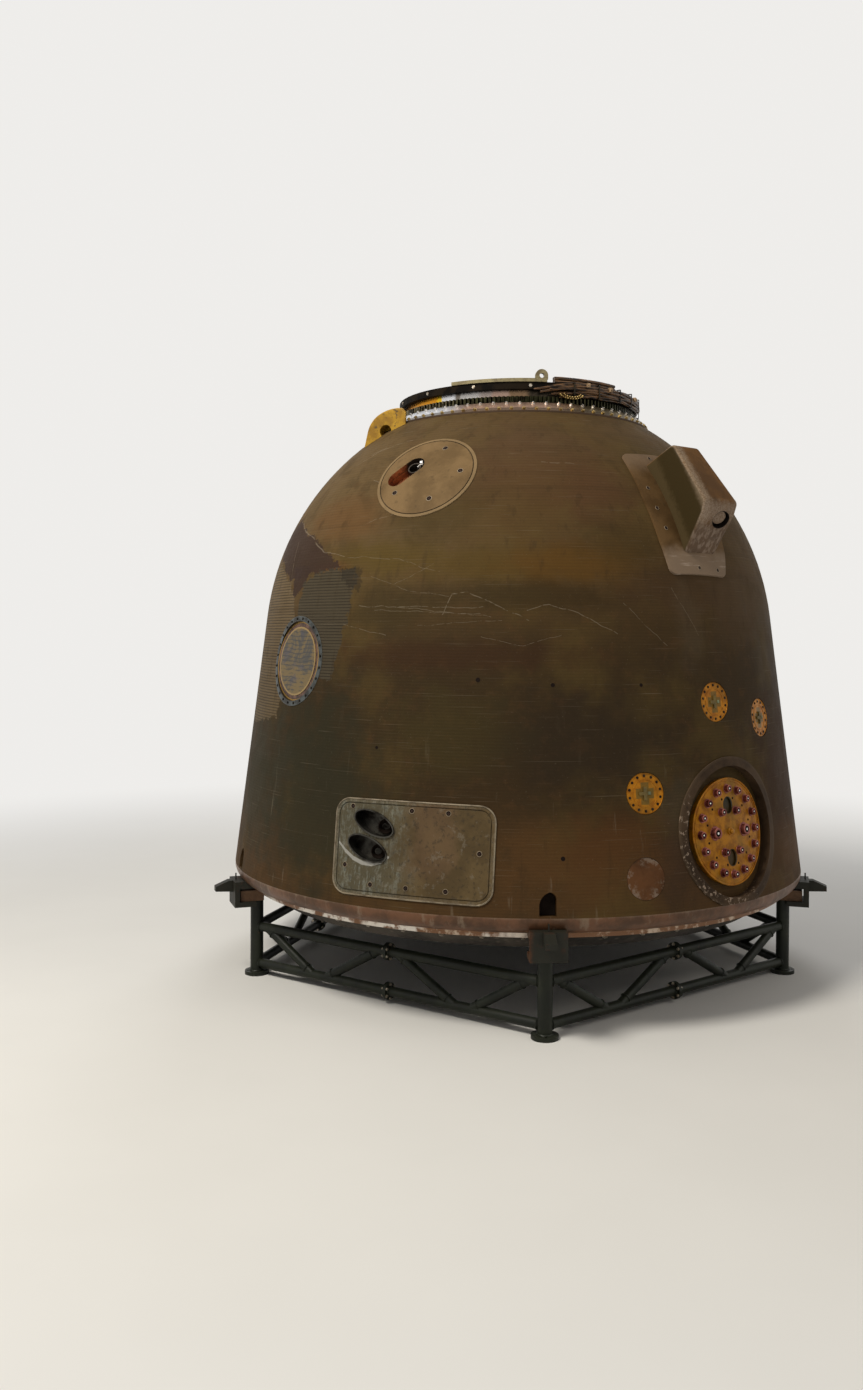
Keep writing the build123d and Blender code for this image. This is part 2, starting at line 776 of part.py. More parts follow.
with BuildPart() as chute_rim:
    with BuildSketch(bay_plane):
        Circle(bay_radius + bay_lip_width)
        Circle(bay_radius - bay_wall, mode=Mode.SUBTRACT)
    extrude(amount=patch_reach, both=True)
    add(hull_form(-bay_lip), mode=Mode.INTERSECT)
    add(hull_form(-seat_gap), mode=Mode.SUBTRACT)

# Thruster panels and their nozzle cups
with BuildPart() as thruster_panels:
    add(skin_patch(panel_outline, panel_planes, panel_proud, panel_depth))
    add(skin_patch(panel_groove_outline, panel_planes, patch_reach, -panel_proud + panel_groove),
        mode=Mode.SUBTRACT)
    with BuildSketch(*panel_planes):
        nozzle_outline(nozzle_wall + seat_gap)
    extrude(amount=patch_reach, both=True, mode=Mode.SUBTRACT)

with BuildPart() as thruster_nozzles:
    add(skin_patch(lambda: nozzle_outline(nozzle_wall), panel_planes, nozzle_proud, nozzle_depth))
    add(skin_patch(nozzle_outline, panel_planes, patch_reach, nozzle_depth - nozzle_wall),
        mode=Mode.SUBTRACT)

# Portholes: a stepped frame and its glass
with BuildPart() as porthole_frames:
    add(skin_patch(lambda: Circle(porthole_radius), porthole_planes, 2, hull_wall))
    with BuildSketch(*porthole_planes):
        Circle(glass_radius - frame_step)
    extrude(amount=patch_reach, both=True, mode=Mode.SUBTRACT)
    with BuildSketch(*[plane.offset(-glass_depth) for plane in porthole_planes]):
        Circle(glass_radius + seat_gap)
    extrude(amount=patch_reach, mode=Mode.SUBTRACT)
    with BuildSketch(*[plane.offset(-frame_ledge_depth) for plane in porthole_planes]):
        Circle(frame_ledge_radius)
    extrude(amount=patch_reach, mode=Mode.SUBTRACT)

with BuildPart() as porthole_glass:
    with BuildSketch(*[plane.offset(-glass_depth) for plane in porthole_planes]):
        Circle(glass_radius)
    extrude(amount=glass_thickness)

# Round plates on the side wall
with BuildPart() as round_plates:
    with BuildSketch(*[plane.offset(-small_plate_pocket_depth) for plane in plate_planes]):
        Circle(small_plate_radius)
    extrude(amount=small_plate_thickness)

with BuildPart() as plate_crosses:
    with BuildSketch(*[plane.offset(small_plate_thickness - small_plate_pocket_depth)
                       for plane in plate_planes]):
        Rectangle(2 * cross_radius, cross_bar)
        Rectangle(cross_bar, 2 * cross_radius)
    extrude(amount=cross_height)

with BuildPart() as worn_plate:
    with BuildSketch(worn_plane.offset(-small_plate_pocket_depth)):
        Circle(small_plate_radius)
    extrude(amount=small_plate_thickness + small_plate_depth - 2)

# Umbilical rim, plate and contacts
with BuildPart() as umbilical_rim:
    add(skin_patch(lambda: Circle(umbilical_rim_outer), [umbilical_plane], umbilical_rim_proud,
                   umbilical_recess))
    with BuildSketch(umbilical_plane):
        Circle(umbilical_rim_inner)
    extrude(amount=patch_reach, both=True, mode=Mode.SUBTRACT)

with BuildPart() as umbilical_plate:
    add(skin_patch(lambda: Circle(umbilical_plate_radius), [umbilical_plane],
                   umbilical_plate_thickness - umbilical_recess, umbilical_recess))
    add(skin_patch(socket_outline, [umbilical_plane], patch_reach,
                   umbilical_recess - umbilical_plate_thickness + socket_depth), mode=Mode.SUBTRACT)

with BuildPart() as umbilical_pins:
    with BuildSketch(umbilical_plane):
        with PolarLocations(pin_circle, pin_count):
            Circle(pin_radius)
        for turn in inner_pin_turns:
            with PolarLocations(inner_pin_circle, 1, start_angle=turn):
                Circle(pin_radius)
        for turn in large_pin_turns:
            with PolarLocations(inner_pin_circle, 1, start_angle=turn):
                Circle(large_pin_radius)
    extrude(amount=patch_reach, both=True)
    add(hull_form(umbilical_recess - umbilical_plate_thickness - pin_height), mode=Mode.INTERSECT)
    add(hull_form(umbilical_recess - umbilical_plate_thickness - seat_gap), mode=Mode.SUBTRACT)

with BuildPart() as lock_pocket_liners:
    add(skin_patch(lambda: pocket_outline(pocket_liner / 2), pocket_planes,
                   pocket_liner - pocket_depth, pocket_depth - seat_gap))

# Stand: feet and legs
with BuildPart() as stand_feet:
    with BuildSketch():
        with PolarLocations(leg_circle, leg_count, start_angle=-90):
            Circle(foot_radius)
        with PolarLocations(leg_circle + foot_hole_offset, leg_count, start_angle=-90):
            Circle(foot_hole_radius, mode=Mode.SUBTRACT)
    extrude(amount=foot_thickness)

with BuildPart() as stand_legs:
    with BuildSketch(Plane.XY.offset(foot_thickness)):
        with PolarLocations(leg_circle, leg_count, start_angle=-90):
            Circle(leg_radius)
    extrude(amount=block_low - foot_thickness)

# Chords between the legs, each in two lengths with a bolted joint in the middle
side_turns = [turn + 180 / leg_count for turn in leg_turns]
side_reach = leg_circle * math.cos(math.pi / leg_count)
side_half = leg_circle * math.sin(math.pi / leg_count)


def side_plane(turn, height, along=0.0):
    """Plane across a chord in the middle of a side, or along further, with x out and y up."""
    middle = outward(turn) * side_reach + Vector(0, 0, height) + sideways(turn) * along
    return Plane(middle, x_dir=outward(turn), z_dir=-sideways(turn))


def chords(height):
    """The ten half chords at a height, coped to the legs."""
    with BuildPart() as tubes:
        with BuildSketch(*[side_plane(turn, height) for turn in side_turns]):
            Circle(chord_radius)
        extrude(amount=side_half, both=True)
        with BuildSketch(*[side_plane(turn, height) for turn in side_turns]):
            Circle(2 * chord_radius)
        extrude(amount=joint_thickness, both=True, mode=Mode.SUBTRACT)
        with BuildSketch():
            with PolarLocations(leg_circle, leg_count, start_angle=-90):
                Circle(leg_radius + seat_gap)
        extrude(amount=bracket_top, mode=Mode.SUBTRACT)
    return tubes.part


with BuildPart() as low_chords:
    add(chords(low_chord_height))

with BuildPart() as high_chords:
    add(chords(high_chord_height))

with BuildPart() as chord_joints:
    with BuildSketch(*[side_plane(turn, height) for turn in side_turns
                       for height in (low_chord_height, high_chord_height)]):
        Circle(joint_radius)
    extrude(amount=joint_thickness, both=True)
    for turn in side_turns:
        for height in (low_chord_height, high_chord_height):
            with BuildSketch(side_plane(turn, height)):
                Circle(joint_radius + 5)
            extrude(amount=0.2, both=True, mode=Mode.SUBTRACT)

# Diagonals, four on a side: along at the foot, along at the top
diagonal_runs = (
    (-side_half / 2 - diagonal_spread, -side_half + leg_radius + diagonal_spread),
    (-side_half / 2 + diagonal_spread, -diagonal_spread - joint_thickness),
    (side_half / 2 - diagonal_spread, diagonal_spread + joint_thickness),
    (side_half / 2 + diagonal_spread, side_half - leg_radius - diagonal_spread),
)
with BuildPart() as diagonals:
    for turn in side_turns:
        for foot, head in diagonal_runs:
            start = outward(turn) * side_reach + sideways(turn) * foot + Vector(0, 0, low_chord_height)
            end = outward(turn) * side_reach + sideways(turn) * head + Vector(0, 0, high_chord_height)
            with BuildSketch(Plane(start, x_dir=outward(turn), z_dir=end - start)):
                Circle(diagonal_radius)
            extrude(amount=(end - start).length)
    with BuildSketch(*[side_plane(turn, height) for turn in side_turns
                       for height in (low_chord_height, high_chord_height)]):
        Circle(chord_radius + seat_gap)
    extrude(amount=side_half, both=True, mode=Mode.SUBTRACT)

# Locks: C brackets that the lip sits in, a block under the lip, a tongue and a pin
lock_planes = [radial_plane(turn) for turn in leg_turns]
with BuildPart() as lip_clearance:
    with BuildSketch(Plane.XZ):
        with BuildLine():
            corner = (wall_radius(wall_bottom) + seat_gap, wall_bottom)
            inside = (shoulder_foot + seat_gap, lip_top - seat_gap)
            TangentArc(corner, inside, tangent=(math.tan(lean), -1))
            Polyline(inside, (lip_radius + seat_gap, lip_top), (lip_radius + seat_gap, lip_low),
                     (0, lip_low), (0, wall_bottom), corner)
        make_face()
    revolve(axis=Axis.Z)

with BuildPart() as lock_brackets:
    with BuildSketch(*lock_planes):
        with BuildLine():
            Polyline((bracket_inner, bracket_low), (bracket_outer, bracket_low),
                     (bracket_outer, bracket_top), (bracket_inner, bracket_top),
                     (bracket_inner, bracket_top - bracket_roof),
                     (bracket_outer - bracket_web, bracket_top - bracket_roof),
                     (bracket_outer - bracket_web, block_low), (bracket_inner, block_low), close=True)
        make_face()
    extrude(amount=bracket_width / 2, both=True)
    add(lip_clearance.part, mode=Mode.SUBTRACT)
    with BuildSketch():
        with PolarLocations(leg_circle, leg_count, start_angle=-90):
            Circle(leg_radius + seat_gap)
    extrude(amount=block_low, mode=Mode.SUBTRACT)

with BuildPart() as lock_blocks:
    with BuildSketch(*lock_planes):
        with Locations(((block_inner + block_outer) / 2, (block_low + lip_low) / 2)):
            Rectangle(block_outer - block_inner, lip_low - block_low)
    extrude(amount=block_width / 2, both=True)
    with BuildSketch(Plane.XZ):
        with BuildLine():
            Polyline((0, block_low), (dish_knee_radius, block_low - 20), (dish_rim_radius + 12, lip_low),
                     (0, lip_low), close=True)
        make_face()
    revolve(axis=Axis.Z, mode=Mode.SUBTRACT)

with BuildPart() as lock_tongues:
    with BuildSketch(*lock_planes):
        with BuildLine():
            Polyline((bracket_outer, bracket_top - tongue_thickness),
                     (tongue_outer, bracket_top - tongue_drops[0]),
                     (tongue_outer, bracket_top - tongue_drops[1]),
                     (bracket_outer + tongue_bend, bracket_top),
                     (bracket_outer, bracket_top), close=True)
        make_face()
    extrude(amount=tongue_width / 2, both=True)

with BuildPart() as lock_pins:
    with BuildSketch(Plane.XY.offset(bracket_top)):
        with PolarLocations(bracket_outer - lock_pin_inset, leg_count, start_angle=-90):
            Circle(lock_pin_radius)
    extrude(amount=lock_pin_height)

pieces = {
    "side_wall": side_wall,
    "dome_shell": dome_shell,
    "base_ring": base_ring,
    "lip_flange": lip_flange,
    "base_dish": base_dish,
    "landing_motors": landing_motors,
    "hatch_flange": hatch_flange,
    "hatch_neck": hatch_neck,
    "toothed_ring": toothed_ring,
    "hatch_top_ring": hatch_top_ring,
    "ring_plate": ring_plate,
    "ring_cables": ring_cables,
    "hatch_seat": hatch_seat,
    "hinge_ears": hinge_ears,
    "hinge_pin": hinge_pin,
    "hatch_lid": hatch_lid,
    "lid_arm": lid_arm,
    "lid_wheel": lid_wheel,
    "round_cover": round_cover,
    "cover_jet": cover_jet,
    "fairing_base": fairing_base,
    "fairing_body": fairing_body,
    "yellow_hood": yellow_hood,
    "chute_bay": chute_bay,
    "chute_rim": chute_rim,
    "thruster_panels": thruster_panels,
    "thruster_nozzles": thruster_nozzles,
    "porthole_frames": porthole_frames,
    "porthole_glass": porthole_glass,
    "round_plates": round_plates,
    "plate_crosses": plate_crosses,
    "worn_plate": worn_plate,
    "umbilical_rim": umbilical_rim,
    "umbilical_plate": umbilical_plate,
    "umbilical_pins": umbilical_pins,
    "lock_pocket_liners": lock_pocket_liners,
    "stand_feet": stand_feet,
    "stand_legs": stand_legs,
    "low_chords": low_chords,
    "high_chords": high_chords,
    "chord_joints": chord_joints,
    "diagonals": diagonals,
    "lock_brackets": lock_brackets,
    "lock_blocks": lock_blocks,
    "lock_tongues": lock_tongues,
    "lock_pins": lock_pins,
}
os.makedirs("parts", exist_ok=True)
for name, piece in pieces.items():
    piece.part.label = name
    export_step(piece.part, f"parts/{name}.step")
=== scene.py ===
import math
from random import Random

import bmesh
import bpy
from mathutils import Matrix, Vector


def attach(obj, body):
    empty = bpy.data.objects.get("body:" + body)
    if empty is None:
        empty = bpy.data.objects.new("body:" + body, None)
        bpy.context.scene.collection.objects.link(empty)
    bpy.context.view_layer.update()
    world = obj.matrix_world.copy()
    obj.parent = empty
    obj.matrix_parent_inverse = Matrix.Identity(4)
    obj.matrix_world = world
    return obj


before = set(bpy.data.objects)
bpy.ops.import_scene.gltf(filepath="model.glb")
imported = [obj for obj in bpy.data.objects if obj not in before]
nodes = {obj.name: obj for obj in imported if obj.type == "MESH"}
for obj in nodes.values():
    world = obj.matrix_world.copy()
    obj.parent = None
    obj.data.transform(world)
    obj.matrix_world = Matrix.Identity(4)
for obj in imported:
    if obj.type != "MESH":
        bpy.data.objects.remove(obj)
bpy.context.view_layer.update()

# Studio. The camera stands where the photograph was taken, turned and shifted as its lens was.
# The floor and the world are pale and plain, and soft lamps above give the shape its shade.
PHOTO_HEIGHT = 1390
FOCAL_PIXELS = 1171.4
AXIS_ROW = 650
CAMERA_PLACE = Vector((-0.5241, -5.3262, 1.4366))
CAMERA_TURN, CAMERA_DIP, CAMERA_ROLL = 0.0271, 0.0130, 0.0056
UP = Vector((0, 0, 1))

ahead = Vector((math.sin(CAMERA_TURN), math.cos(CAMERA_TURN), 0))
level = Vector((math.cos(CAMERA_TURN), -math.sin(CAMERA_TURN), 0))
forward = ahead * math.cos(CAMERA_DIP) - UP * math.sin(CAMERA_DIP)
upward = ahead * math.sin(CAMERA_DIP) + UP * math.cos(CAMERA_DIP)
right = level * math.cos(CAMERA_ROLL) + upward * math.sin(CAMERA_ROLL)
top = upward * math.cos(CAMERA_ROLL) - level * math.sin(CAMERA_ROLL)
camera_data = bpy.data.cameras.new("camera")
camera_data.lens = camera_data.sensor_width * FOCAL_PIXELS / PHOTO_HEIGHT
camera_data.shift_y = (AXIS_ROW - PHOTO_HEIGHT / 2) / PHOTO_HEIGHT
camera = bpy.data.objects.new("camera", camera_data)
camera.matrix_world = Matrix.Translation(CAMERA_PLACE) @ Matrix(
    (right, top, -forward)).transposed().to_4x4()
bpy.context.scene.collection.objects.link(camera)
bpy.context.scene.camera = camera
bpy.context.scene.view_settings.view_transform = "Standard"


def add_node(tree, kind, inputs=None, output=0, **settings):
    """Adds a node with its settings and inputs, and gives back one of its outputs."""
    node = tree.nodes.new(kind)
    for setting, value in settings.items():
        setattr(node, setting, value)
    for label, value in (inputs or {}).items():
        feed(tree, node.inputs[label], value)
    return node.outputs[output]


def feed(tree, socket, value):
    """Links an input to what a node gives, or sets it to a constant."""
    if isinstance(value, Value):
        value = value.socket
    if isinstance(value, bpy.types.NodeSocket):
        tree.links.new(value, socket)
    elif socket.type == "RGBA" and len(value) == 3:
        socket.default_value = (*value, 1)
    else:
        socket.default_value = value


class Value:
    """What a node of a finish gives, ready for sums, steps and mixes."""

    def __init__(self, finish, socket):
        self.finish, self.socket = finish, socket

    def __add__(self, other):
        return self.finish.math("ADD", self, other)

    def __sub__(self, other):
        return self.finish.math("SUBTRACT", self, other)

    def __rsub__(self, other):
        return self.finish.math("SUBTRACT", other, self)

    def __mul__(self, other):
        return self.finish.math("MULTIPLY", self, other)

    def __truediv__(self, other):
        return self.finish.math("DIVIDE", self, other)

    def __abs__(self):
        return self.finish.math("ABSOLUTE", self)

    def most(self, other):
        return self.finish.math("MAXIMUM", self, other)

    def least(self, other):
        return self.finish.math("MINIMUM", self, other)

    def hypot(self, other):
        return self.finish.math("SQRT", self * self + other * other)

    def step(self, low, high):
        """0 below low and 1 above high, smooth between."""
        return self.finish.add("ShaderNodeMapRange", {0: self, 1: low, 2: high, 3: 0.0, 4: 1.0},
                               interpolation_type="SMOOTHSTEP")

    def mix(self, first, second):
        """The first colour where the value is 0 and the second where it is 1."""
        return self.finish.add("ShaderNodeMix", {0: self, 6: first, 7: second}, 2,
                               data_type="RGBA")


class Finish:
    """A surface finish being wired. Its colour is laid on in layers over a ground colour."""

    def __init__(self, name, colour, **sockets):
        self.material = bpy.data.materials.new(name)
        self.material.use_nodes = True
        self.tree = self.material.node_tree
        self.colour = colour
        self.set(**sockets)
        self.place = self.add("ShaderNodeTexCoord", output="Object")
        apart = self.add("ShaderNodeSeparateXYZ", {0: self.place}).socket.node
        self.x, self.y, self.z = (Value(self, output) for output in apart.outputs)

    def set(self, **sockets):
        shader = self.tree.nodes["Principled BSDF"]
        for label, value in sockets.items():
            feed(self.tree, shader.inputs[label.replace("_", " ")], value)
        return self

    def add(self, kind, inputs=None, output=0, **settings):
        return Value(self, add_node(self.tree, kind, inputs, output, **settings))

    def math(self, operation, *values):
        return self.add("ShaderNodeMath", dict(enumerate(values)), operation=operation)

    def vector(self, operation, *values, output=0):
        return self.add("ShaderNodeVectorMath", dict(enumerate(values)), output,
                        operation=operation)

    def flat(self, x, y):
        return self.add("ShaderNodeCombineXYZ", {0: x, 1: y})

    def stretched(self, x, y, z):
        return self.vector("MULTIPLY", self.place, (x, y, z))

    def normal(self):
        return self.add("ShaderNodeNewGeometry", output="Normal")

    def noise(self, scale, detail=3.0, roughness=0.55, place=None, distortion=0.0):
        return self.add("ShaderNodeTexNoise", {
            "Vector": place or self.place, "Scale": scale, "Detail": detail,
            "Roughness": roughness, "Distortion": distortion})

    def cells(self, scale):
        return self.add("ShaderNodeTexVoronoi", {"Vector": self.place, "Scale": scale})

    def turn(self):
        """Degrees round the axis, from the front towards +X."""
        return self.math("DEGREES", self.math("ARCTAN2", self.x, self.y * -1.0))

    def within(self, place):
        """Coordinates along the three axes of a place."""
        arm = self.vector("SUBTRACT", self.place, place.translation)
        return [self.vector("DOT_PRODUCT", arm, place.col[axis].to_3d(), output="Value")
                for axis in range(3)]

    def line(self, spot, start, end):
        """Distance of a spot from a straight stroke between two points."""
        run = Vector(end) - Vector(start)
        offset = self.vector("SUBTRACT", spot, Vector(start))
        share = self.vector("DOT_PRODUCT", offset, run / run.length_squared, output="Value")
        nearest = self.add("ShaderNodeVectorMath", {0: run, "Scale": self.add(
            "ShaderNodeClamp", {0: share})}, operation="SCALE")
        return self.vector("DISTANCE", offset, nearest, output="Value")

    def bump(self, height, distance, normal=None):
        inputs = {"Height": height, "Distance": distance}
        if normal:
            inputs["Normal"] = normal
        return self.add("ShaderNodeBump", inputs)

    def layer(self, share, tint, strength=1.0):
        """Lays a colour over the ones before it, as far as its share goes."""
        self.colour = (share if strength == 1.0 else share * strength).mix(self.colour, tint)
        return self

    def blots(self, tint, scale, detail, low, high, strength=1.0, roughness=0.55):
        """Lays a colour where a noise rises from low to high."""
        return self.layer(self.noise(scale, detail, roughness).step(low, high), tint, strength)

    def grain(self, scale, depth):
        """Gives the surface a fine noise to feel."""
        return self.set(Normal=self.bump(self.noise(scale), depth))

    def done(self, **sockets):
        self.set(Base_Color=self.colour, **sockets)
        return self.material


def soft_lamp(name, place, aim, size, power, tint):
    data = bpy.data.lights.new(name, "AREA")
    data.shape = "DISK"
    data.size = size
    data.energy = power
    data.color = tint
    lamp = bpy.data.objects.new(name, data)
    lamp.matrix_world = Matrix.Translation(place) @ (
        Vector(aim) - Vector(place)).to_track_quat("-Z", "Y").to_matrix().to_4x4()
    bpy.context.scene.collection.objects.link(lamp)


soft_lamp("key_lamp", (-3.4, -3.6, 6.2), (0, 0, 1.4), 2.2, 370, (1.0, 0.95, 0.86))
soft_lamp("fill_lamp", (4.8, -3.6, 4.4), (0, 0, 1.2), 2.6, 45, (1.0, 0.92, 0.82))
soft_lamp("back_lamp", (0.5, 5.2, 5.4), (0, 0, 1.4), 3.0, 130, (0.97, 0.98, 1.0))

# The world is bright where the camera sees it, straight or mirrored, and dimmer as a light.
ROOM_TINT, ROOM_SEEN, ROOM_LIGHT = (1.0, 0.985, 0.96), 0.86, 0.30
world = bpy.data.worlds.new("pale_room")
world.use_nodes = True
bpy.context.scene.world = world
room = world.node_tree
rays = room.nodes.new("ShaderNodeLightPath").outputs
seen = rays["Is Camera Ray"]
for ray in ("Is Glossy Ray", "Is Transmission Ray"):
    seen = add_node(room, "ShaderNodeMath", {0: seen, 1: rays[ray]}, operation="MAXIMUM")
feed(room, room.nodes["Background"].inputs["Color"], ROOM_TINT)
feed(room, room.nodes["Background"].inputs["Strength"], add_node(
    room, "ShaderNodeMapRange", {"Value": seen, "To Min": ROOM_LIGHT, "To Max": ROOM_SEEN}))

pale_floor = Finish("pale_floor", (0.76, 0.75, 0.72), Roughness=0.8, Specular_IOR_Level=0.0)
far = pale_floor.vector("LENGTH", pale_floor.place, output="Value").step(2.2, 6.5)
pale_floor.layer(pale_floor.noise(1.5), (0.81, 0.80, 0.77)).layer(far, (0, 0, 0))
floor_mesh = bpy.data.meshes.new("floor")
floor_mesh.from_pydata([(-30, -30, 0), (30, -30, 0), (30, 30, 0), (-30, 30, 0)], [],
                       [(0, 1, 2, 3)])
floor_mesh.materials.append(pale_floor.done(Emission_Color=ROOM_TINT,
                                            Emission_Strength=far * ROOM_SEEN))
floor = bpy.data.objects.new("floor", floor_mesh)
bpy.context.scene.collection.objects.link(floor)

# Hull: a wound heat-shield skin in burnt olive brown, painted darker towards the bottom as the
# shade that the lamps above leave there, and more khaki towards the crown, palest on the upper left
# as a painted sheen. The winding shows as fine level ribs, and the skin is scratched and streaked.
# It leans in to a seam, above which it is a round dome.
FOOT_RADIUS, FOOT_HEIGHT = 1.245, 0.500
LEAN = math.radians(7.2)
DOME_CENTRE = 1.383
DOME_RADIUS = (FOOT_RADIUS - (DOME_CENTRE - FOOT_HEIGHT) * math.tan(LEAN)) * math.cos(LEAN)
SEAM = DOME_CENTRE + DOME_RADIUS * math.sin(LEAN)
RIB_PITCH = 0.0115
GIRTH = 1.12
KHAKI = (0.118, 0.076, 0.032)
OLIVE = (0.061, 0.0350, 0.0120)
UMBER = (0.034, 0.0205, 0.0082)
SOOT = (0.017, 0.013, 0.009)
PLUM = (0.035, 0.020, 0.0145)
ASH = (0.056, 0.046, 0.030)
RUST = (0.088, 0.042, 0.013)
STRAW = (0.150, 0.108, 0.060)
BONE = (0.27, 0.22, 0.155)
# Stains: turn and height of the middle, half width in degrees, half height, colour, strength
STAINS = (
    (-48, 1.90, 13, 0.08, (0.110, 0.056, 0.020), 0.75),
    (-34, 1.73, 12, 0.06, (0.078, 0.050, 0.011), 0.75),
    (-47, 1.70, 5, 0.022, RUST, 0.9), (-20, 1.36, 26, 0.055, (0.036, 0.016, 0.007), 0.6),
    (-10, 1.70, 18, 0.07, (0.076, 0.046, 0.010), 0.7),
    (7, 1.70, 14, 0.08, (0.084, 0.042, 0.009), 0.9),
    (-2, 2.16, 14, 0.13, (0.078, 0.045, 0.022), 0.7),
    (0, 2.02, 20, 0.16, (0.074, 0.038, 0.015), 0.6),
    (-10, 1.86, 14, 0.10, (0.074, 0.043, 0.013), 0.5),
    (-1, 1.585, 15, 0.055, (0.030, 0.018, 0.006), 0.65),
    (13, 1.98, 8, 0.12, (0.070, 0.034, 0.015), 0.6),
    (-24, 1.88, 10, 0.10, (0.052, 0.034, 0.010), 0.6),
    (28, 1.62, 12, 0.10, (0.048, 0.026, 0.012), 0.6),
    (-13, 1.58, 14, 0.05, (0.040, 0.026, 0.009), 0.6),
    (-46, 0.84, 15, 0.40, (0.023, 0.021, 0.011), 0.85),
    (-31, 1.53, 9, 0.09, (0.040, 0.027, 0.010), 0.7),
    (30, 1.48, 3.5, 0.16, (0.085, 0.062, 0.038), 0.3),
    (-68, 0.80, 12, 0.30, (0.030, 0.028, 0.016), 0.7),
    (-17, 1.08, 12, 0.16, (0.044, 0.032, 0.010), 0.6), (26, 0.78, 5, 0.14, ASH, 0.4),
    (24, 0.62, 5, 0.16, PLUM, 0.5), (4, 0.64, 15, 0.13, RUST, 0.5),
    (12, 0.70, 9, 0.12, (0.075, 0.030, 0.009), 0.45),
    (34, 2.10, 10, 0.12, (0.062, 0.040, 0.014), 0.6),
    (18, 1.78, 10, 0.10, (0.046, 0.028, 0.008), 0.55), (8, 1.05, 16, 0.20, SOOT, 0.45),
    (58, 1.40, 14, 0.22, SOOT, 0.2), (46, 1.56, 10, 0.14, (0.066, 0.040, 0.020), 0.6),
    (62, 0.86, 15, 0.34, (0.032, 0.0150, 0.0055), 0.95), (62, 0.60, 10, 0.10, RUST, 0.5),
    (120, 1.80, 22, 0.22, PLUM, 0.7), (150, 1.40, 12, 0.3, ASH, 0.6),
    (112, 1.10, 14, 0.28, STRAW, 0.4), (95, 0.80, 9, 0.28, SOOT, 0.5),
    (-140, 1.1, 16, 0.4, KHAKI, 0.45), (-160, 1.72, 14, 0.12, RUST, 0.5),
    (-120, 0.7, 9, 0.2, SOOT, 0.5), (150, 2.22, 22, 0.15, KHAKI, 0.5),
)
# Patches with sharp torn outlines: colour, strength, and corners as turn and height, anticlockwise
PATCHES = (
    (STRAW, 0.60, ((-78, 1.06), (-61, 1.10), (-58, 1.50), (-59.5, 1.59), (-63.1, 1.646),
                   (-73.6, 1.74), (-84, 1.69), (-91, 1.50), (-87, 1.24))),
    (PLUM, 0.9, ((-80, 1.79), (-63, 1.655), (-51.3, 1.676), (-44.5, 1.702), (-55.9, 1.817),
                 (-73.8, 1.927), (-80, 1.87))),
    (PLUM, 0.9, ((-63, 1.72), (-59.6, 1.585), (-58.3, 1.582), (-55.0, 1.66), (-53, 1.70))),
    (ASH, 0.9, ((-57, 1.36), (-43, 1.24), (-41.5, 1.40), (-38.4, 1.575), (-38.6, 1.655),
                (-40.1, 1.682), (-47.6, 1.686), (-51.3, 1.679), (-55.6, 1.641), (-56.9, 1.56))),
    (SOOT, 0.5, ((-43.5, 1.645), (-38.4, 1.60), (-38.4, 1.684), (-44.0, 1.690))),
)
# Scratches: turn and height of both ends, half width
SCRATCHES = (
    (-72.1, 1.915, -59.5, 1.833, 0.0030), (-59.5, 1.833, -51.1, 1.759, 0.0026),
    (-51.1, 1.759, -42.0, 1.735, 0.0014), (-62.0, 1.60, -66.0, 1.82, 0.0022),
    (-19.5, 1.51, -17.4, 1.585, 0.0016), (-17.4, 1.585, -14.6, 1.595, 0.0018),
    (-14.6, 1.595, -9.0, 1.545, 0.0018), (-9.0, 1.545, -3.0, 1.49, 0.0015),
    (-3.4, 1.525, 0.6, 1.545, 0.0014), (0.6, 1.545, 6.0, 1.520, 0.0014),
    (6.0, 1.52, 14.0, 1.445, 0.0012), (-38.0, 1.545, -11.5, 1.535, 0.0012),
    (-34.0, 1.530, -12.0, 1.512, 0.0010), (-29.0, 1.541, -10.0, 1.502, 0.0010),
    (-41.0, 1.475, -31.0, 1.435, 0.0014), (-36.0, 1.66, -27.0, 1.60, 0.0009),
    (-27.0, 1.60, -18.0, 1.575, 0.0009), (-12.0, 1.43, -4.0, 1.40, 0.0008),
    (-24.0, 1.47, -8.0, 1.49, 0.0008), (-4.0, 1.40, 3.0, 1.44, 0.0008),
    (-30.0, 1.62, -22.0, 1.70, 0.0008), (15.0, 1.56, 24.0, 1.40, 0.0010),
    (26.0, 1.62, 32.0, 1.44, 0.0009), (1.0, 2.10, 9.0, 2.095, 0.0012),
    (-44.0, 2.05, -38.0, 2.03, 0.0012), (-58.0, 2.14, -49.0, 2.20, 0.0014),
    (-55.3, 2.177, -39.4, 2.222, 0.0012), (-42.0, 1.856, -33.6, 1.896, 0.0011),
    (-42.0, 1.735, -31.0, 1.724, 0.0010), (-31.0, 1.724, -20.4, 1.668, 0.0009),
    (130, 1.62, 156, 1.50, 0.0018), (-150, 1.9, -128, 1.78, 0.0018),
)


def outward(turn):
    """Level direction out of the hull, for a turn in degrees from the front towards +X."""
    return Vector((math.sin(math.radians(turn)), -math.cos(math.radians(turn)), 0))


def sideways(turn):
    return Vector((math.cos(math.radians(turn)), math.sin(math.radians(turn)), 0))


def spot(turn, radius, height):
    return outward(turn) * radius + UP * height


def wall_radius(height):
    return FOOT_RADIUS - (height - FOOT_HEIGHT) * math.tan(LEAN)


def on_hull(turn, height):
    """Place on the hull's skin, with x to the right, y up the skin and z out."""
    rise, radius = LEAN, wall_radius(height)
    if height > SEAM:
        rise = math.asin((height - DOME_CENTRE) / DOME_RADIUS)
        radius = DOME_RADIUS * math.cos(rise)
    out, across = spot(turn, math.cos(rise), math.sin(rise)), sideways(turn)
    return Matrix.Translation(spot(turn, radius, height)) @ Matrix(
        (across, out.cross(across), out)).transposed().to_4x4()


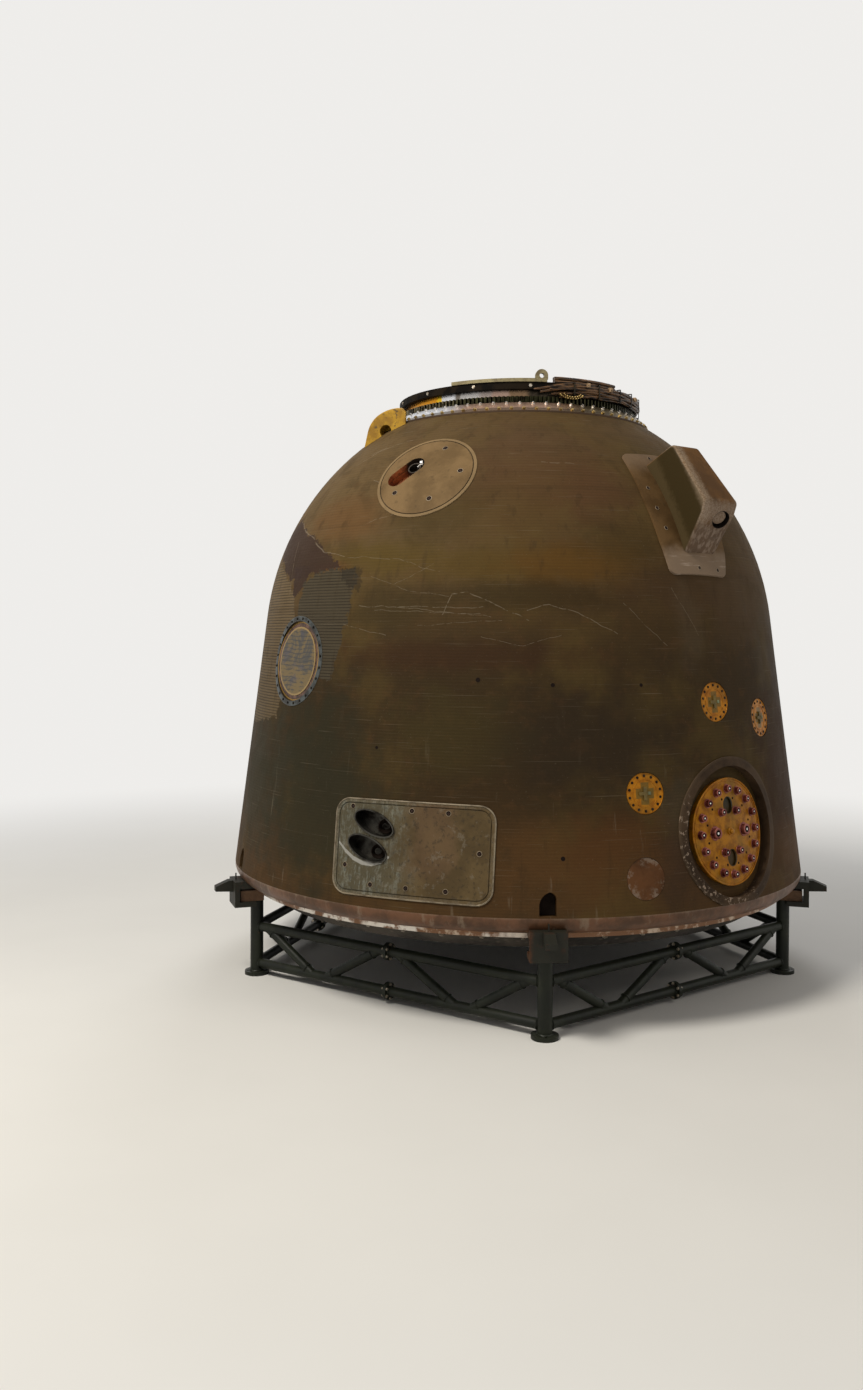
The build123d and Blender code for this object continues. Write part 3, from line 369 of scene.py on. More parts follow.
def hull_gap(point):
    """How far a point stands outside the hull's skin."""
    if point.z > SEAM:
        return (point - UP * DOME_CENTRE).length - DOME_RADIUS
    return (math.hypot(point.x, point.y) - wall_radius(point.z)) * math.cos(LEAN)


def axis_of(place):
    return place.to_3x3() @ UP


def wrapped(place, u, v, lift=0.0):
    """The point at u, v of a place, dropped straight on to the skin and lifted off it."""
    point = place @ Vector((u, v, 0))
    for _ in range(8):
        point -= axis_of(place) * (hull_gap(point) - lift)
    return point


def skin_out(point):
    """Direction out of the skin at a point on it."""
    if point.z > SEAM:
        return (point - UP * DOME_CENTRE).normalized()
    return Vector((point.x, point.y, 0)).normalized() * math.cos(LEAN) + UP * math.sin(LEAN)


def burnt_hull():
    """The wound and burnt skin, with its ribs, stains, torn patches, streaks and scratches."""
    skin = Finish("burnt_hull", OLIVE, Specular_IOR_Level=0.07)
    round_axis = skin.math("ARCTAN2", skin.x, skin.y * -1.0)
    degrees = skin.math("DEGREES", round_axis)
    flat = skin.flat(round_axis * GIRTH, skin.z)
    cloud = skin.noise(2.2, 5, 0.6)
    patch = skin.noise(7.0, 4, 0.6, distortion=0.6)
    blot = skin.noise(16.0, 5, 0.65, distortion=0.3)
    grain = skin.noise(140.0, 3, 0.7)
    high = (skin.z + cloud * 0.5).step(1.45, 2.35)
    left = (skin.x + cloud * 0.7).step(0.55, -0.80)
    # Painted shade: the skin turns umber towards the bottom, standing in for the shade there.
    skin.layer((skin.z + patch * 0.5).step(1.94, 1.50), UMBER)
    skin.layer((skin.z + cloud * 0.3).step(1.05, 0.72), (0.070, 0.036, 0.013), 0.8)
    # Khaki on the crown, strongest on the upper left, where it is a painted sheen.
    skin.layer(high * (left * 0.75 + 0.22), KHAKI)
    skin.layer(patch.step(0.47, 0.62), (0.036, 0.024, 0.011), 0.35)
    skin.layer(cloud.step(0.48, 0.66), (0.092, 0.060, 0.017), 0.4)
    skin.layer(blot.step(0.50, 0.66), (0.074, 0.037, 0.014), 0.3)

    wobble = (skin.noise(9.0, 6, 0.65) - 0.5) * 2.1
    for middle, height, wide, tall, tint, strength in STAINS:
        reach = ((degrees - middle) / wide).hypot((skin.z - height) / tall)
        skin.layer((reach + wobble).step(1.5, 0.35), tint, strength)

    torn = (skin.noise(26.0, 6, 0.7) - 0.5) * 0.100
    pale_ribs = 0.0
    for tint, strength, corners in PATCHES:
        points = [Vector((math.radians(turn) * GIRTH, height, 0)) for turn, height in corners]
        edge = None
        for near, far in zip(points, points[1:] + points[:1]):
            side = (far - near).normalized()
            away = skin.vector("DOT_PRODUCT", skin.vector("SUBTRACT", flat, near),
                               (side.y, -side.x, 0), output="Value")
            edge = away.most(edge) if edge else away
        share = (edge + torn).step(0.003, -0.003)
        skin.layer(share, tint, strength)
        if tint in (STRAW, ASH):
            pale_ribs = share.most(pale_ribs)

    streak = skin.noise(26.0, 4, 0.6, skin.stretched(1, 1, 0.05))
    skin.layer(streak.step(0.62, 0.76) * skin.z.step(1.25, 0.55), BONE, 0.3)
    skin.layer(streak.step(0.44, 0.30), UMBER, 0.35)
    drift = skin.noise(3.0, 4, 0.6, skin.stretched(0.25, 0.25, 9))
    skin.layer(drift.step(0.52, 0.74), UMBER, 0.24)
    uneven = skin.noise(60.0, 2, 0.5, skin.stretched(0.12, 0.12, 1))
    winding = skin.math("SINE", skin.z * (2 * math.pi / RIB_PITCH)) * (uneven + 0.25)
    skin.layer(winding.step(-0.1, -0.8) * (pale_ribs * 0.62 + 0.12), SOOT)
    skin.layer(grain.step(0.62, 0.78), BONE, 0.16)
    skin.layer(grain.step(0.40, 0.25), SOOT, 0.3)
    for slant in (0.10, 0.75, -0.9):
        drawn = skin.add("ShaderNodeMapping", {"Vector": flat, "Rotation": (0, 0, slant),
                                               "Scale": (3.0, 260.0, 1.0)})
        skin.layer(skin.noise(1.0, 2, 0.5, drawn).step(0.700, 0.740), BONE, 0.16)

    shake = skin.vector("SUBTRACT", skin.add("ShaderNodeTexNoise", {
        "Vector": skin.place, "Scale": 9.0, "Detail": 3.0}, 1), (0.5, 0.5, 0.5))
    shaken = skin.vector("ADD", flat, skin.vector("MULTIPLY", shake, (0.030, 0.030, 0.0)))
    marks = 0.0
    for start_turn, start_z, end_turn, end_z, half in SCRATCHES:
        away = skin.line(shaken, (math.radians(start_turn) * GIRTH, start_z, 0),
                         (math.radians(end_turn) * GIRTH, end_z, 0))
        marks = away.step(half * 1.45, half * 0.3).most(marks)
    marks = marks * skin.noise(35.0, 3, 0.6).step(0.38, 0.52)
    skin.layer(marks, BONE, 0.36)
    height = winding * (pale_ribs * 0.4 + 0.2) + grain * 0.5 - marks
    return skin.done(Normal=skin.bump(height, 0.0006, skin.bump(cloud, 0.010)),
                     Roughness=patch * 0.3 + 0.54)


def finished(material, *names):
    """Gives CAD nodes their material."""
    for name in names:
        for slot in nodes[name].material_slots:
            slot.material = material


finished(burnt_hull(), "side_wall", "dome_shell")


# Fasteners: steel and brass bolts and small blackened screws, each on its washer. One tree sets a
# head on every point of a carrier mesh and turns it to the point's own direction, so the ring, the
# plates, the lip and the stand all get their rows from it.
def head_tree():
    """Geometry nodes: a bolt or screw head with a washer under it, on every point."""
    tree = bpy.data.node_groups.new("fastener_rows", "GeometryNodeTree")
    for label, kind in (("Carrier", "Geometry"), ("Head Radius", "Float"),
                        ("Head Height", "Float"), ("Washer Radius", "Float"),
                        ("Washer Height", "Float"), ("Sides", "Int"), ("Finish", "Material")):
        tree.interface.new_socket(label, in_out="INPUT", socket_type="NodeSocket" + kind)
    tree.interface.new_socket("Rows", in_out="OUTPUT", socket_type="NodeSocketGeometry")
    given, result = tree.nodes.new("NodeGroupInput").outputs, tree.nodes.new("NodeGroupOutput")

    def disc(radius, height, sides, foot):
        """A disc that stands at the height foot."""
        cylinder = add_node(tree, "GeometryNodeMeshCylinder", {
            "Radius": given[radius], "Depth": given[height], "Vertices": sides}, "Mesh")
        middle = add_node(tree, "ShaderNodeMath", {0: given[height], 1: 0.5, 2: foot},
                          operation="MULTIPLY_ADD")
        lift = add_node(tree, "ShaderNodeCombineXYZ", {2: middle})
        return add_node(tree, "GeometryNodeTransform", {"Geometry": cylinder,
                                                        "Translation": lift})

    join = tree.nodes.new("GeometryNodeJoinGeometry")
    feed(tree, join.inputs[0], disc("Head Radius", "Head Height", given["Sides"],
                                    given["Washer Height"]))
    feed(tree, join.inputs[0], disc("Washer Radius", "Washer Height", 12, 0.0))
    way = add_node(tree, "GeometryNodeInputNamedAttribute", {"Name": "out"}, "Attribute",
                   data_type="FLOAT_VECTOR")
    aim = add_node(tree, "FunctionNodeAlignRotationToVector", {"Vector": way}, axis="Z")
    scatter = add_node(tree, "FunctionNodeRandomValue", {"Max": math.pi, "Seed": 7}, 1,
                       data_type="FLOAT")
    spin = add_node(tree, "FunctionNodeAxisAngleToRotation", {"Axis": (0, 0, 1),
                                                              "Angle": scatter})
    turned = add_node(tree, "FunctionNodeRotateRotation", {0: aim, 1: spin},
                      rotation_space="LOCAL")
    rows = add_node(tree, "GeometryNodeInstanceOnPoints", {
        "Points": given["Carrier"], "Instance": join.outputs[0], "Rotation": turned})
    real = add_node(tree, "GeometryNodeRealizeInstances", {0: rows})
    feed(tree, result.inputs[0], add_node(tree, "GeometryNodeSetMaterial", {
        "Geometry": real, "Material": given["Finish"]}))
    return tree


HEADS = head_tree()


def made(name, mesh, material, body="capsule"):
    """Links a new piece, sets its material and lets it ride on its body."""
    piece = bpy.data.objects.new(name, mesh)
    mesh.materials.clear()
    mesh.materials.append(material)
    bpy.context.scene.collection.objects.link(piece)
    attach(piece, body)


def fasteners(name, seats, material, head, washer, sides=6):
    """Heads on seats, each a point and its direction; head and washer are radius and height."""
    carrier = bpy.data.meshes.new(name + "_seats")
    carrier.from_pydata([point for point, _ in seats], [], [])
    way = carrier.attributes.new("out", "FLOAT_VECTOR", "POINT")
    way.data.foreach_set("vector", [part for _, out in seats for part in out])
    holder = bpy.data.objects.new(name + "_carrier", carrier)
    bpy.context.scene.collection.objects.link(holder)
    modifier = holder.modifiers.new("rows", "NODES")
    modifier.node_group = HEADS
    values = {"Head Radius": head[0], "Head Height": head[1], "Washer Radius": washer[0],
              "Washer Height": washer[1], "Sides": sides, "Finish": material}
    for item in HEADS.interface.items_tree:
        if item.name in values:
            modifier[item.identifier] = values[item.name]
    holder.update_tag()
    depsgraph = bpy.context.evaluated_depsgraph_get()
    mesh = bpy.data.meshes.new_from_object(holder.evaluated_get(depsgraph))
    mesh.name = name
    bpy.data.objects.remove(holder)
    bpy.data.meshes.remove(carrier)
    made(name, mesh, material)


def ring_seats(radius, height, count, rise, start, turns=(-180, 180)):
    """Seats round the axis between two turns, aimed out at a rise above level."""
    seats = []
    for index in range(count):
        turn = (start + 360 * index / count + 180) % 360 - 180
        if turns[0] <= turn <= turns[1]:
            seats.append((spot(turn, radius, height), spot(turn, math.cos(rise), math.sin(rise))))
    return seats


def metal(name, colour, worn, roughness=0.35, stain=(0.03, 0.02, 0.014), stain_share=0.5,
          metallic=1.0, scale=18.0):
    """Bare or plated metal with stains and worn patches."""
    plate = Finish(name, colour, Metallic=metallic)
    fine = plate.noise(scale * 14, 3, 0.6)
    plate.layer(plate.noise(scale, 6, 0.65, distortion=0.4).step(0.42, 0.66), worn)
    plate.layer(fine.step(0.55, 0.75), stain, stain_share)
    return plate.done(Roughness=fine * 0.25 + roughness, Normal=plate.bump(fine, 0.0004))


ring_dark = metal("ring_dark", (0.014, 0.012, 0.010), (0.038, 0.031, 0.021), 0.4,
                  stain=(0.010, 0.007, 0.005))
bolt_steel = metal("bolt_steel", (0.50, 0.45, 0.37), (0.22, 0.17, 0.12), 0.3, scale=60.0)
bolt_brass = metal("bolt_brass", (0.52, 0.38, 0.15), (0.20, 0.13, 0.05), 0.3, scale=60.0)
bright_steel = metal("bright_steel", (0.72, 0.70, 0.67), (0.5, 0.46, 0.41), 0.22, scale=60.0,
                     stain_share=0.2)

# Hatch ring on the crown: a bright steel flange bolted to the dome, stained towards the sides and
# painted dark at its foot as a painted shadow line, a ring of teeth painted lighter on the left as
# a painted highlight, a black top ring and an arc of olive plate screwed on to it.
FLANGE_DULL = (0.20, 0.155, 0.085)
flange = Finish("flange_steel", (0.86, 0.88, 0.93), Metallic=1.0)
turn = flange.turn() + flange.noise(6.0) * 14.0
blot = flange.noise(40.0, 5, 0.65, distortion=0.5)
# Painted shadow: the foot of the flange is painted dark, as the thin shadow line under it.
foot = flange.z.step(2.3494, 2.3484)
flange.layer(turn.step(-34.0, -16.0), (0.62, 0.41, 0.30))
flange.layer(turn.step(12.0, 34.0), FLANGE_DULL).layer(turn.step(-95.0, -130.0), FLANGE_DULL)
flange.layer(blot.step(0.52, 0.70), (0.085, 0.062, 0.045), 0.45)
flange.layer((flange.z + blot * 0.004).step(2.3650, 2.3625), (0.085, 0.058, 0.034), 0.70)
flange.layer(foot, (0.070, 0.046, 0.030)).grain(150.0, 0.0003)
finished(flange.done(Roughness=(foot * 0.8).most(blot * 0.3 + 0.20)), "hatch_flange")
teeth = Finish("teeth_olive", (0.028, 0.027, 0.013), Metallic=1.0, Roughness=0.42)
# Painted highlight: the teeth are painted lighter on the left, where the lamp catches them.
teeth.layer(teeth.turn().step(-28.0, -46.0), (0.17, 0.145, 0.085))
finished(teeth.blots((0.014, 0.012, 0.007), 45.0, 3, 0.44, 0.6).done(), "toothed_ring")
top_ring = Finish("ring_black", (0.0050, 0.0040, 0.0032), Roughness=0.6, Specular_IOR_Level=0.03)
top_ring.blots((0.0135, 0.0095, 0.0060), 20.0, 5, 0.42, 0.62).grain(180.0, 0.0003)
finished(top_ring.done(), "hatch_top_ring")
finished(metal("plate_olive", (0.24, 0.20, 0.10), (0.13, 0.10, 0.05), 0.45, metallic=0.35),
         "ring_plate")
FLANGE_RISE = math.atan2(45, 42)
PLATE_SCREW_REACH, PLATE_TOP = 0.506, 2.489
fasteners("flange_lower_bolts", ring_seats(0.579, 2.3545, 72, FLANGE_RISE, 2.4), bolt_brass,
          (0.0066, 0.007), (0.0092, 0.0015))
fasteners("flange_upper_bolts", ring_seats(0.5495, 2.3818, 64, FLANGE_RISE, 1.4), bright_steel,
          (0.0050, 0.007), (0.0076, 0.0015))
fasteners("top_ring_bolts", ring_seats(0.530, 2.4605, 14, 0.0, 0.6, (-120, 5)), bolt_steel,
          (0.0050, 0.0025), (0.0070, 0.001), sides=12)
fasteners("arc_plate_screws", [(spot(turn, PLATE_SCREW_REACH, PLATE_TOP), UP)
                               for turn in range(-33, 3, 7)],
          ring_dark, (0.0052, 0.0028), (0.0074, 0.0008))

# Neck of the ring: a coppery metal band with scales, crossed by narrow bright, grey and dark
# strips, between the flange and the teeth.
neck = Finish("neck_band", (0.78, 0.33, 0.020), Metallic=1.0)
turn = neck.turn() + (neck.noise(14.0, 4) - 0.5) * 6.0
for first, last, tint in ((-50, -46, (0.95, 0.62, 0.03)), (-45, -44.5, (0.80, 0.80, 0.82)),
                          (-38, -36, (0.20, 0.17, 0.14)), (-34, -33, (0.50, 0.48, 0.46)),
                          (-26, -22, (0.34, 0.28, 0.25)), (-19, -17, (0.40, 0.27, 0.21)),
                          (-10, -8, (0.22, 0.14, 0.08)), (-2, 1.5, (0.040, 0.032, 0.022)),
                          (-110, -130, (0.040, 0.032, 0.022))):
    neck.layer(turn.step(first, last), tint)
scales = neck.cells(120.0)
neck.layer(scales.step(0.5, 0.2), (0.09, 0.06, 0.04), 0.25).grain(90.0, 0.0003)
finished(neck.done(Roughness=scales * 0.2 + 0.2), "hatch_neck")

# Harness round the right of the ring: brown sheathed cables that lie one over the other against the
# top ring and sink towards their ends, held by dark straps, with tan blocks and a fan of brass
# couplings.
cable = Finish("cable_brown", (0.012, 0.007, 0.004), Roughness=0.38, Specular_IOR_Level=0.25)
cable.layer(cable.noise(60.0, 3, 0.6, cable.stretched(0.3, 0.3, 3.0)).step(0.42, 0.60),
            (0.150, 0.078, 0.034))
cable_brown = cable.grain(220.0, 0.0006).done()
finished(cable_brown, "ring_cables")


def circle(radius, count, start=0.0):
    """Points round a circle, the first at a start in degrees."""
    turns = [math.radians(start) + 2 * math.pi * index / count for index in range(count)]
    return [(radius * math.cos(turn), radius * math.sin(turn)) for turn in turns]


class Shape:
    """A piece being built: points and faces in metres, in the shared frame."""

    CREASE = math.radians(38)

    def __init__(self):
        self.points, self.faces = [], []

    def rows(self, rows, loop=False):
        """Joins rows of points that go round; the first and last get a cap, unless they meet."""
        base, count = len(self.points), len(rows[0])
        for row in rows:
            self.points.extend(row)
        for index in range(len(rows) if loop else len(rows) - 1):
            near, far = base + index * count, base + (index + 1) % len(rows) * count
            for step in range(count):
                follow = (step + 1) % count
                self.faces.append((near + step, near + follow, far + follow, far + step))
        if not loop:
            last = base + (len(rows) - 1) * count
            self.faces.append(tuple(range(base + count - 1, base - 1, -1)))
            self.faces.append(tuple(range(last, last + count)))

    def lathe(self, profile, place, steps=20, loop=False):
        """A profile of radius and height, turned round the z axis of a place."""
        self.rows([[place @ Vector((x, y, height)) for x, y in circle(radius, steps)]
                   for radius, height in profile], loop)

    def tube(self, path, radius, sides=8, loop=False):
        """A round tube along a path."""
        rows, across = [], None
        path = [Vector(point) for point in path]
        for index, point in enumerate(path):
            after = path[(index + 1) % len(path)] if loop or index + 1 < len(path) else point
            before = path[index - 1] if loop or index else point
            ahead = (after - before).normalized()
            across = across or ahead.orthogonal()
            across = (across - ahead * across.dot(ahead)).normalized()
            over = ahead.cross(across)
            rows.append([point + across * x + over * y for x, y in circle(radius, sides)])
        self.rows(rows, loop)

    def prism(self, outline, place, low, high, edge=0.0):
        """An outline pushed up along the z axis of a place, its rims broken by an edge."""
        middle = sum((Vector(corner) for corner in outline), Vector((0, 0))) / len(outline)
        rows = []
        for inset, height in ((edge, low), (0, low + edge), (0, high - edge), (edge, high)):
            row = []
            for corner in outline:
                arm = Vector(corner) - middle
                arm = arm * max(0.0, 1 - inset / arm.length) + middle
                row.append(place @ Vector((arm.x, arm.y, height)))
            rows.append(row)
        self.rows(rows if edge else [rows[0], rows[3]])

    def block(self, place, width, depth, low, high, edge=0.001):
        half, deep = width / 2, depth / 2
        self.prism([(-half, -deep), (half, -deep), (half, deep), (-half, deep)], place, low,
                   high, edge)

    def made(self, name, material, slot, body="capsule"):
        """Closes the shape and makes it a piece."""
        mesh = bpy.data.meshes.new(name)
        mesh.from_pydata(self.points, [], self.faces)
        form = bmesh.new()
        form.from_mesh(mesh)
        bmesh.ops.recalc_face_normals(form, faces=form.faces)
        form.to_mesh(mesh)
        form.free()
        mesh.shade_smooth()
        mesh.set_sharp_from_angle(angle=self.CREASE)
        made(name, mesh, material, body)


SINK, SWAY_OUT, SWAY_UP = 0.010, 0.0016, 0.0026
harness, sway = Shape(), Random(5)
for reach, height, radius, first, last in (
        (0.5370, 2.4690, 0.0052, 8, 104), (0.5370, 2.4585, 0.0050, 2, 112),
        (0.5370, 2.4480, 0.0054, 5, 96), (0.5370, 2.4370, 0.0050, 10, 108),
        (0.5370, 2.4265, 0.0048, 14, 99), (0.5460, 2.4640, 0.0050, 13, 88),
        (0.5465, 2.4530, 0.0055, 9, 101), (0.5460, 2.4415, 0.0050, 17, 94),
        (0.5440, 2.4310, 0.0045, 22, 84)):
    path, drift = [], sway.uniform(0, 6)
    for turn in range(first, last, 2):
        sink = SINK * (1 - min(1.0, (turn - first) / 10, (last - turn) / 8))
        path.append(spot(turn, reach - sink + SWAY_OUT * math.sin(turn * 0.31 + drift),
                         height - sink + SWAY_UP * math.sin(turn * 0.19 + drift)))
    harness.tube(path, radius)
harness.made("ring_harness", cable_brown, "cable_sheath")


def shifted(place, x, y, z):
    return place @ Matrix.Translation((x, y, z))


STRAP_REACH, STRAP_WIDTH = 0.5510, 0.007
straps, blocks = Shape(), Shape()
for turn, height, tall in ((20, 2.450, 0.050), (33, 2.449, 0.056), (47, 2.449, 0.056),
                           (58, 2.449, 0.056), (72, 2.449, 0.056), (86, 2.449, 0.056),
                           (27, 2.470, 0.0), (40, 2.467, 0.0), (63, 2.462, 0.0)):
    place = Matrix.Translation(spot(turn, STRAP_REACH, height)) @ Matrix(
        (UP, sideways(turn), -outward(turn))).transposed().to_4x4()
    if tall:
        straps.block(place, tall, STRAP_WIDTH, -0.002, 0.0004, 0.0006)
        for end in (-tall / 2, tall / 2):
            straps.block(shifted(place, end, 0, 0), 0.003, STRAP_WIDTH, -0.002, 0.022, 0.0006)
    else:
        blocks.block(place, 0.017, 0.014, -0.006, 0.008, 0.0012)
        blocks.lathe(((0.0040, -0.004), (0.0040, -0.009), (0.0026, -0.010)), place, 8)
straps.made("harness_straps", ring_dark, "dark_metal")
blocks.made("harness_blocks", metal("block_tan", (0.30, 0.20, 0.11), (0.16, 0.095, 0.045), 0.45,
                                    metallic=0.4), "tan_plate")


def aimed(point, out):
    """Place at a point with its z axis along a direction."""
    return Matrix.Translation(point) @ Vector(out).to_track_quat("Z", "Y").to_matrix().to_4x4()


couplings = Shape()
for row, reach in enumerate((0.026, 0.036)):
    for index in range(9 + 3 * row):
        fan = math.radians(198 + index * 144 / (8 + 3 * row))
        turn = 19 + math.degrees(reach * 1.5 * math.cos(fan) / 0.546)
        point = spot(turn, 0.5475 - 0.004 * row, 2.4325 + reach * 0.62 * math.sin(fan))
        couplings.lathe(((0.0018, -0.012), (0.0036, -0.004), (0.0036, 0.003), (0.0022, 0.005)),
                        aimed(point, outward(turn)), 8)
couplings.made("harness_couplings", bolt_brass, "bare_metal")

# Hatch: a painted lid under its seat that swings down into the cabin on two ears and a steel pin.
# The seat has a row of screws and a dark seal, and the lid has ribs, a valve and a grab bar on top.
LID_TOP, SEAT_TOP = 2.3275, 2.330
SEAT_SCREWS_REACH, SEAL_REACH, SEAL_THICK = 0.415, 0.3865, 0.0035
liner = Finish("liner_paint", (0.17, 0.175, 0.135), Roughness=0.5)
liner.blots((0.085, 0.082, 0.060), 9.0, 5, 0.36, 0.64)
liner.blots((0.045, 0.032, 0.020), 70.0, 5, 0.60, 0.68, roughness=0.7)
liner_paint = liner.grain(120.0, 0.0004).done()
finished(liner_paint, "hatch_lid", "hatch_seat")
finished(bolt_steel, "hinge_ears", "hinge_pin", "lid_arm", "lid_wheel")
fasteners("seat_screws", [(spot(turn, SEAT_SCREWS_REACH, SEAT_TOP), UP)
                          for turn in range(5, 360, 10)],
          bolt_steel, (0.006, 0.003), (0.009, 0.001))


def spun(degrees):
    return Matrix.Rotation(math.radians(degrees), 4, "Z")


ribs = Shape()
for index in range(12):
    ribs.block(shifted(spun(index * 30 + 15), 0.285, 0, 0), 0.125, 0.012, LID_TOP, 2.3330, 0.0015)
for reach in (0.205, 0.355):
    ribs.lathe(((reach - 0.006, LID_TOP), (reach + 0.006, LID_TOP), (reach + 0.0045, 2.3325),
                (reach - 0.0045, 2.3325)), Matrix(), 64, loop=True)
ribs.made("lid_ribs", liner_paint, "pale_skin", "hatch")
seal = Shape()
seal.lathe([(SEAL_REACH + x, SEAT_TOP + y) for x, y in circle(SEAL_THICK, 8)], Matrix(), 72,
           loop=True)
seal.made("seat_seal", ring_dark, "dark_metal")
valve = Shape()
valve.lathe(((0.030, 2.330), (0.032, 2.333), (0.032, 2.340), (0.026, 2.343), (0.024, 2.356),
             (0.019, 2.359)), Matrix.Translation((0.13, 0.02, 0)), 24)
valve.tube(((-0.16, 0.10, 2.328), (-0.16, 0.10, 2.368), (-0.155, 0.095, 2.373),
            (-0.045, 0.045, 2.373), (-0.04, 0.04, 2.368), (-0.04, 0.04, 2.330)), 0.007)
valve.made("lid_valve_and_bar", bolt_steel, "bare_metal", "hatch")


# Round cover on the dome: a tan ablator disc inside a thin rim, held by bolts in four dark holes.
# It has a slanted slot with a scorched orange lining over a steel jet, and a small pale fitting at
# the slot's upper end.
def tan_finish(name, light, dark, stain=(0.05, 0.033, 0.016)):
    """Brown ablator: cloudy, with darker blots and stains, and pitted."""
    plate = Finish(name, light, Roughness=0.62, Specular_IOR_Level=0.08)
    plate.blots(dark, 6.0, 5, 0.38, 0.64, roughness=0.6)
    return plate.blots(stain, 34.0, 5, 0.56, 0.74, 0.45).grain(110.0, 0.0006)


COVER = on_hull(-28.5, 2.057)
SLOT = shifted(COVER, -0.091, 0.021, 0) @ spun(46.5)
SLOT_REACH, SLOT_HALF = 0.041, 0.043
cover = tan_finish("cover_tan", (0.178, 0.112, 0.050), (0.118, 0.073, 0.031))
u, v, _ = cover.within(COVER)
reach = u.hypot(v)
cover.layer(reach.step(0.1905, 0.1945), (0.25, 0.175, 0.090), 0.45)
cover.layer(reach.step(0.1900, 0.1920) * reach.step(0.1965, 0.1945), (0.045, 0.029, 0.014), 0.85)
upright = cover.vector("DOT_PRODUCT", cover.normal(), axis_of(COVER), output="Value")
along, aside, _ = cover.within(SLOT)
in_slot = cover.line(cover.flat(along, aside), (-SLOT_HALF, 0, 0), (SLOT_HALF, 0, 0))
scorch = cover.noise(24.0, 4).step(0.40, 0.62).mix((0.42, 0.13, 0.045), (0.20, 0.055, 0.020))
scorch = along.step(0.002, 0.030).mix(scorch, (0.020, 0.012, 0.008))
cover.layer(upright.step(0.85, 0.6) * in_slot.step(SLOT_REACH + 0.006, SLOT_REACH + 0.003),
            scorch)
finished(cover.done(), "round_cover")
finished(metal("scorched_steel", (0.060, 0.050, 0.042), (0.020, 0.016, 0.013), 0.45), "cover_jet")

soot = Finish("soot_lining", (0.008, 0.006, 0.005), Roughness=0.85, Specular_IOR_Level=0.03)
soot_lining = soot.layer(soot.noise(40.0), (0.018, 0.012, 0.009)).done()
pit_rust = metal("pit_rust", (0.030, 0.010, 0.006), (0.012, 0.006, 0.004), 0.7, metallic=0.0)
bolt_rim = metal("bolt_rim", (0.26, 0.20, 0.13), (0.12, 0.085, 0.05), 0.5, metallic=0.3)


def seated(place, u, v, lift):
    """Place near u, v of a place on the hull, lifted off the skin, with z out of it."""
    point = wrapped(place, u, v, lift)
    return aimed(point, skin_out(point))


def sized(radius, profile):
    """A profile whose radii are given as shares of one radius."""
    return [(radius * share, height) for share, height in profile]


def bolt_pits(name, place, spots, radius, lift):
    """Dark countersunk holes with a thin worn rim and a socket screw deep inside."""
    rims, pits, screws = Shape(), Shape(), Shape()
    for u, v in spots:
        seat = seated(place, u, v, lift)
        rims.lathe(sized(radius, ((1.00, 0.0002), (1.28, 0.0002), (1.20, 0.0012),
                                  (1.04, 0.0012))), seat, loop=True)
        pits.lathe(sized(radius, ((1.02, -0.0006), (1.02, 0.0006), (0.2, 0.0004))), seat)
        screws.lathe(sized(radius, ((0.5, 0.0002), (0.5, 0.0010), (0.3, 0.0011),
                                    (0.26, 0.0004))), seat, 6)
    rims.made(name + "_rims", bolt_rim, "tan_plate")
    pits.made(name + "_pits", soot_lining, "dark_metal")
    screws.made(name + "_screws", pit_rust, "dark_metal")


bolt_pits("cover_bolts", COVER, ((0.042, 0.142), (0.145, 0.013), (0.054, -0.126),
                                 (-0.107, -0.087)), 0.0094, 0.004)


def slot_loop(inset, steps=10):
    """Corners of the slot's outline, from its right end round."""
    radius, corners = SLOT_REACH - inset, []
    for end in (1, -1):
        for step in range(steps + 1):
            turn = math.pi * (step / steps - 0.5)
            corners.append((end * (SLOT_HALF + radius * math.cos(turn)),
                            end * radius * math.sin(turn)))
    return corners


SLOT_FLOOR = -0.0555
slot = Finish("slot_scorch", (0.40, 0.12, 0.035), Roughness=0.5)
slot.blots((0.17, 0.045, 0.015), 16.0, 5, 0.36, 0.60, roughness=0.6).grain(90.0, 0.0008)
slot.layer(slot.within(SLOT)[0].step(0.000, 0.028), (0.014, 0.009, 0.007))
lining = Shape()
lining.rows([[SLOT @ Vector((x, y, height)) for x, y in slot_loop(inset)] for inset, height in
             ((0.0006, -0.030), (0.0006, SLOT_FLOOR), (0.0016, SLOT_FLOOR), (0.0016, -0.030))],
            loop=True)
lining.prism(slot_loop(0.0018), SLOT, -0.0560, -0.0545)
lining.made("slot_lining", slot.done(), "tan_plate")
fitting = Shape()
fitting.lathe(((0.0095, -0.02), (0.0095, 0.0), (0.0070, 0.003), (0.0070, 0.006),
               (0.0030, 0.007)), shifted(COVER, -0.0445, 0.0780, -0.012), 14)
fitting.tube([COVER @ Vector(bend) for bend in (
    (-0.058, 0.060, -0.018), (-0.045, 0.066, -0.012), (-0.033, 0.0655, -0.010))], 0.0042)
fitting.made("slot_fitting", bright_steel, "bare_metal")

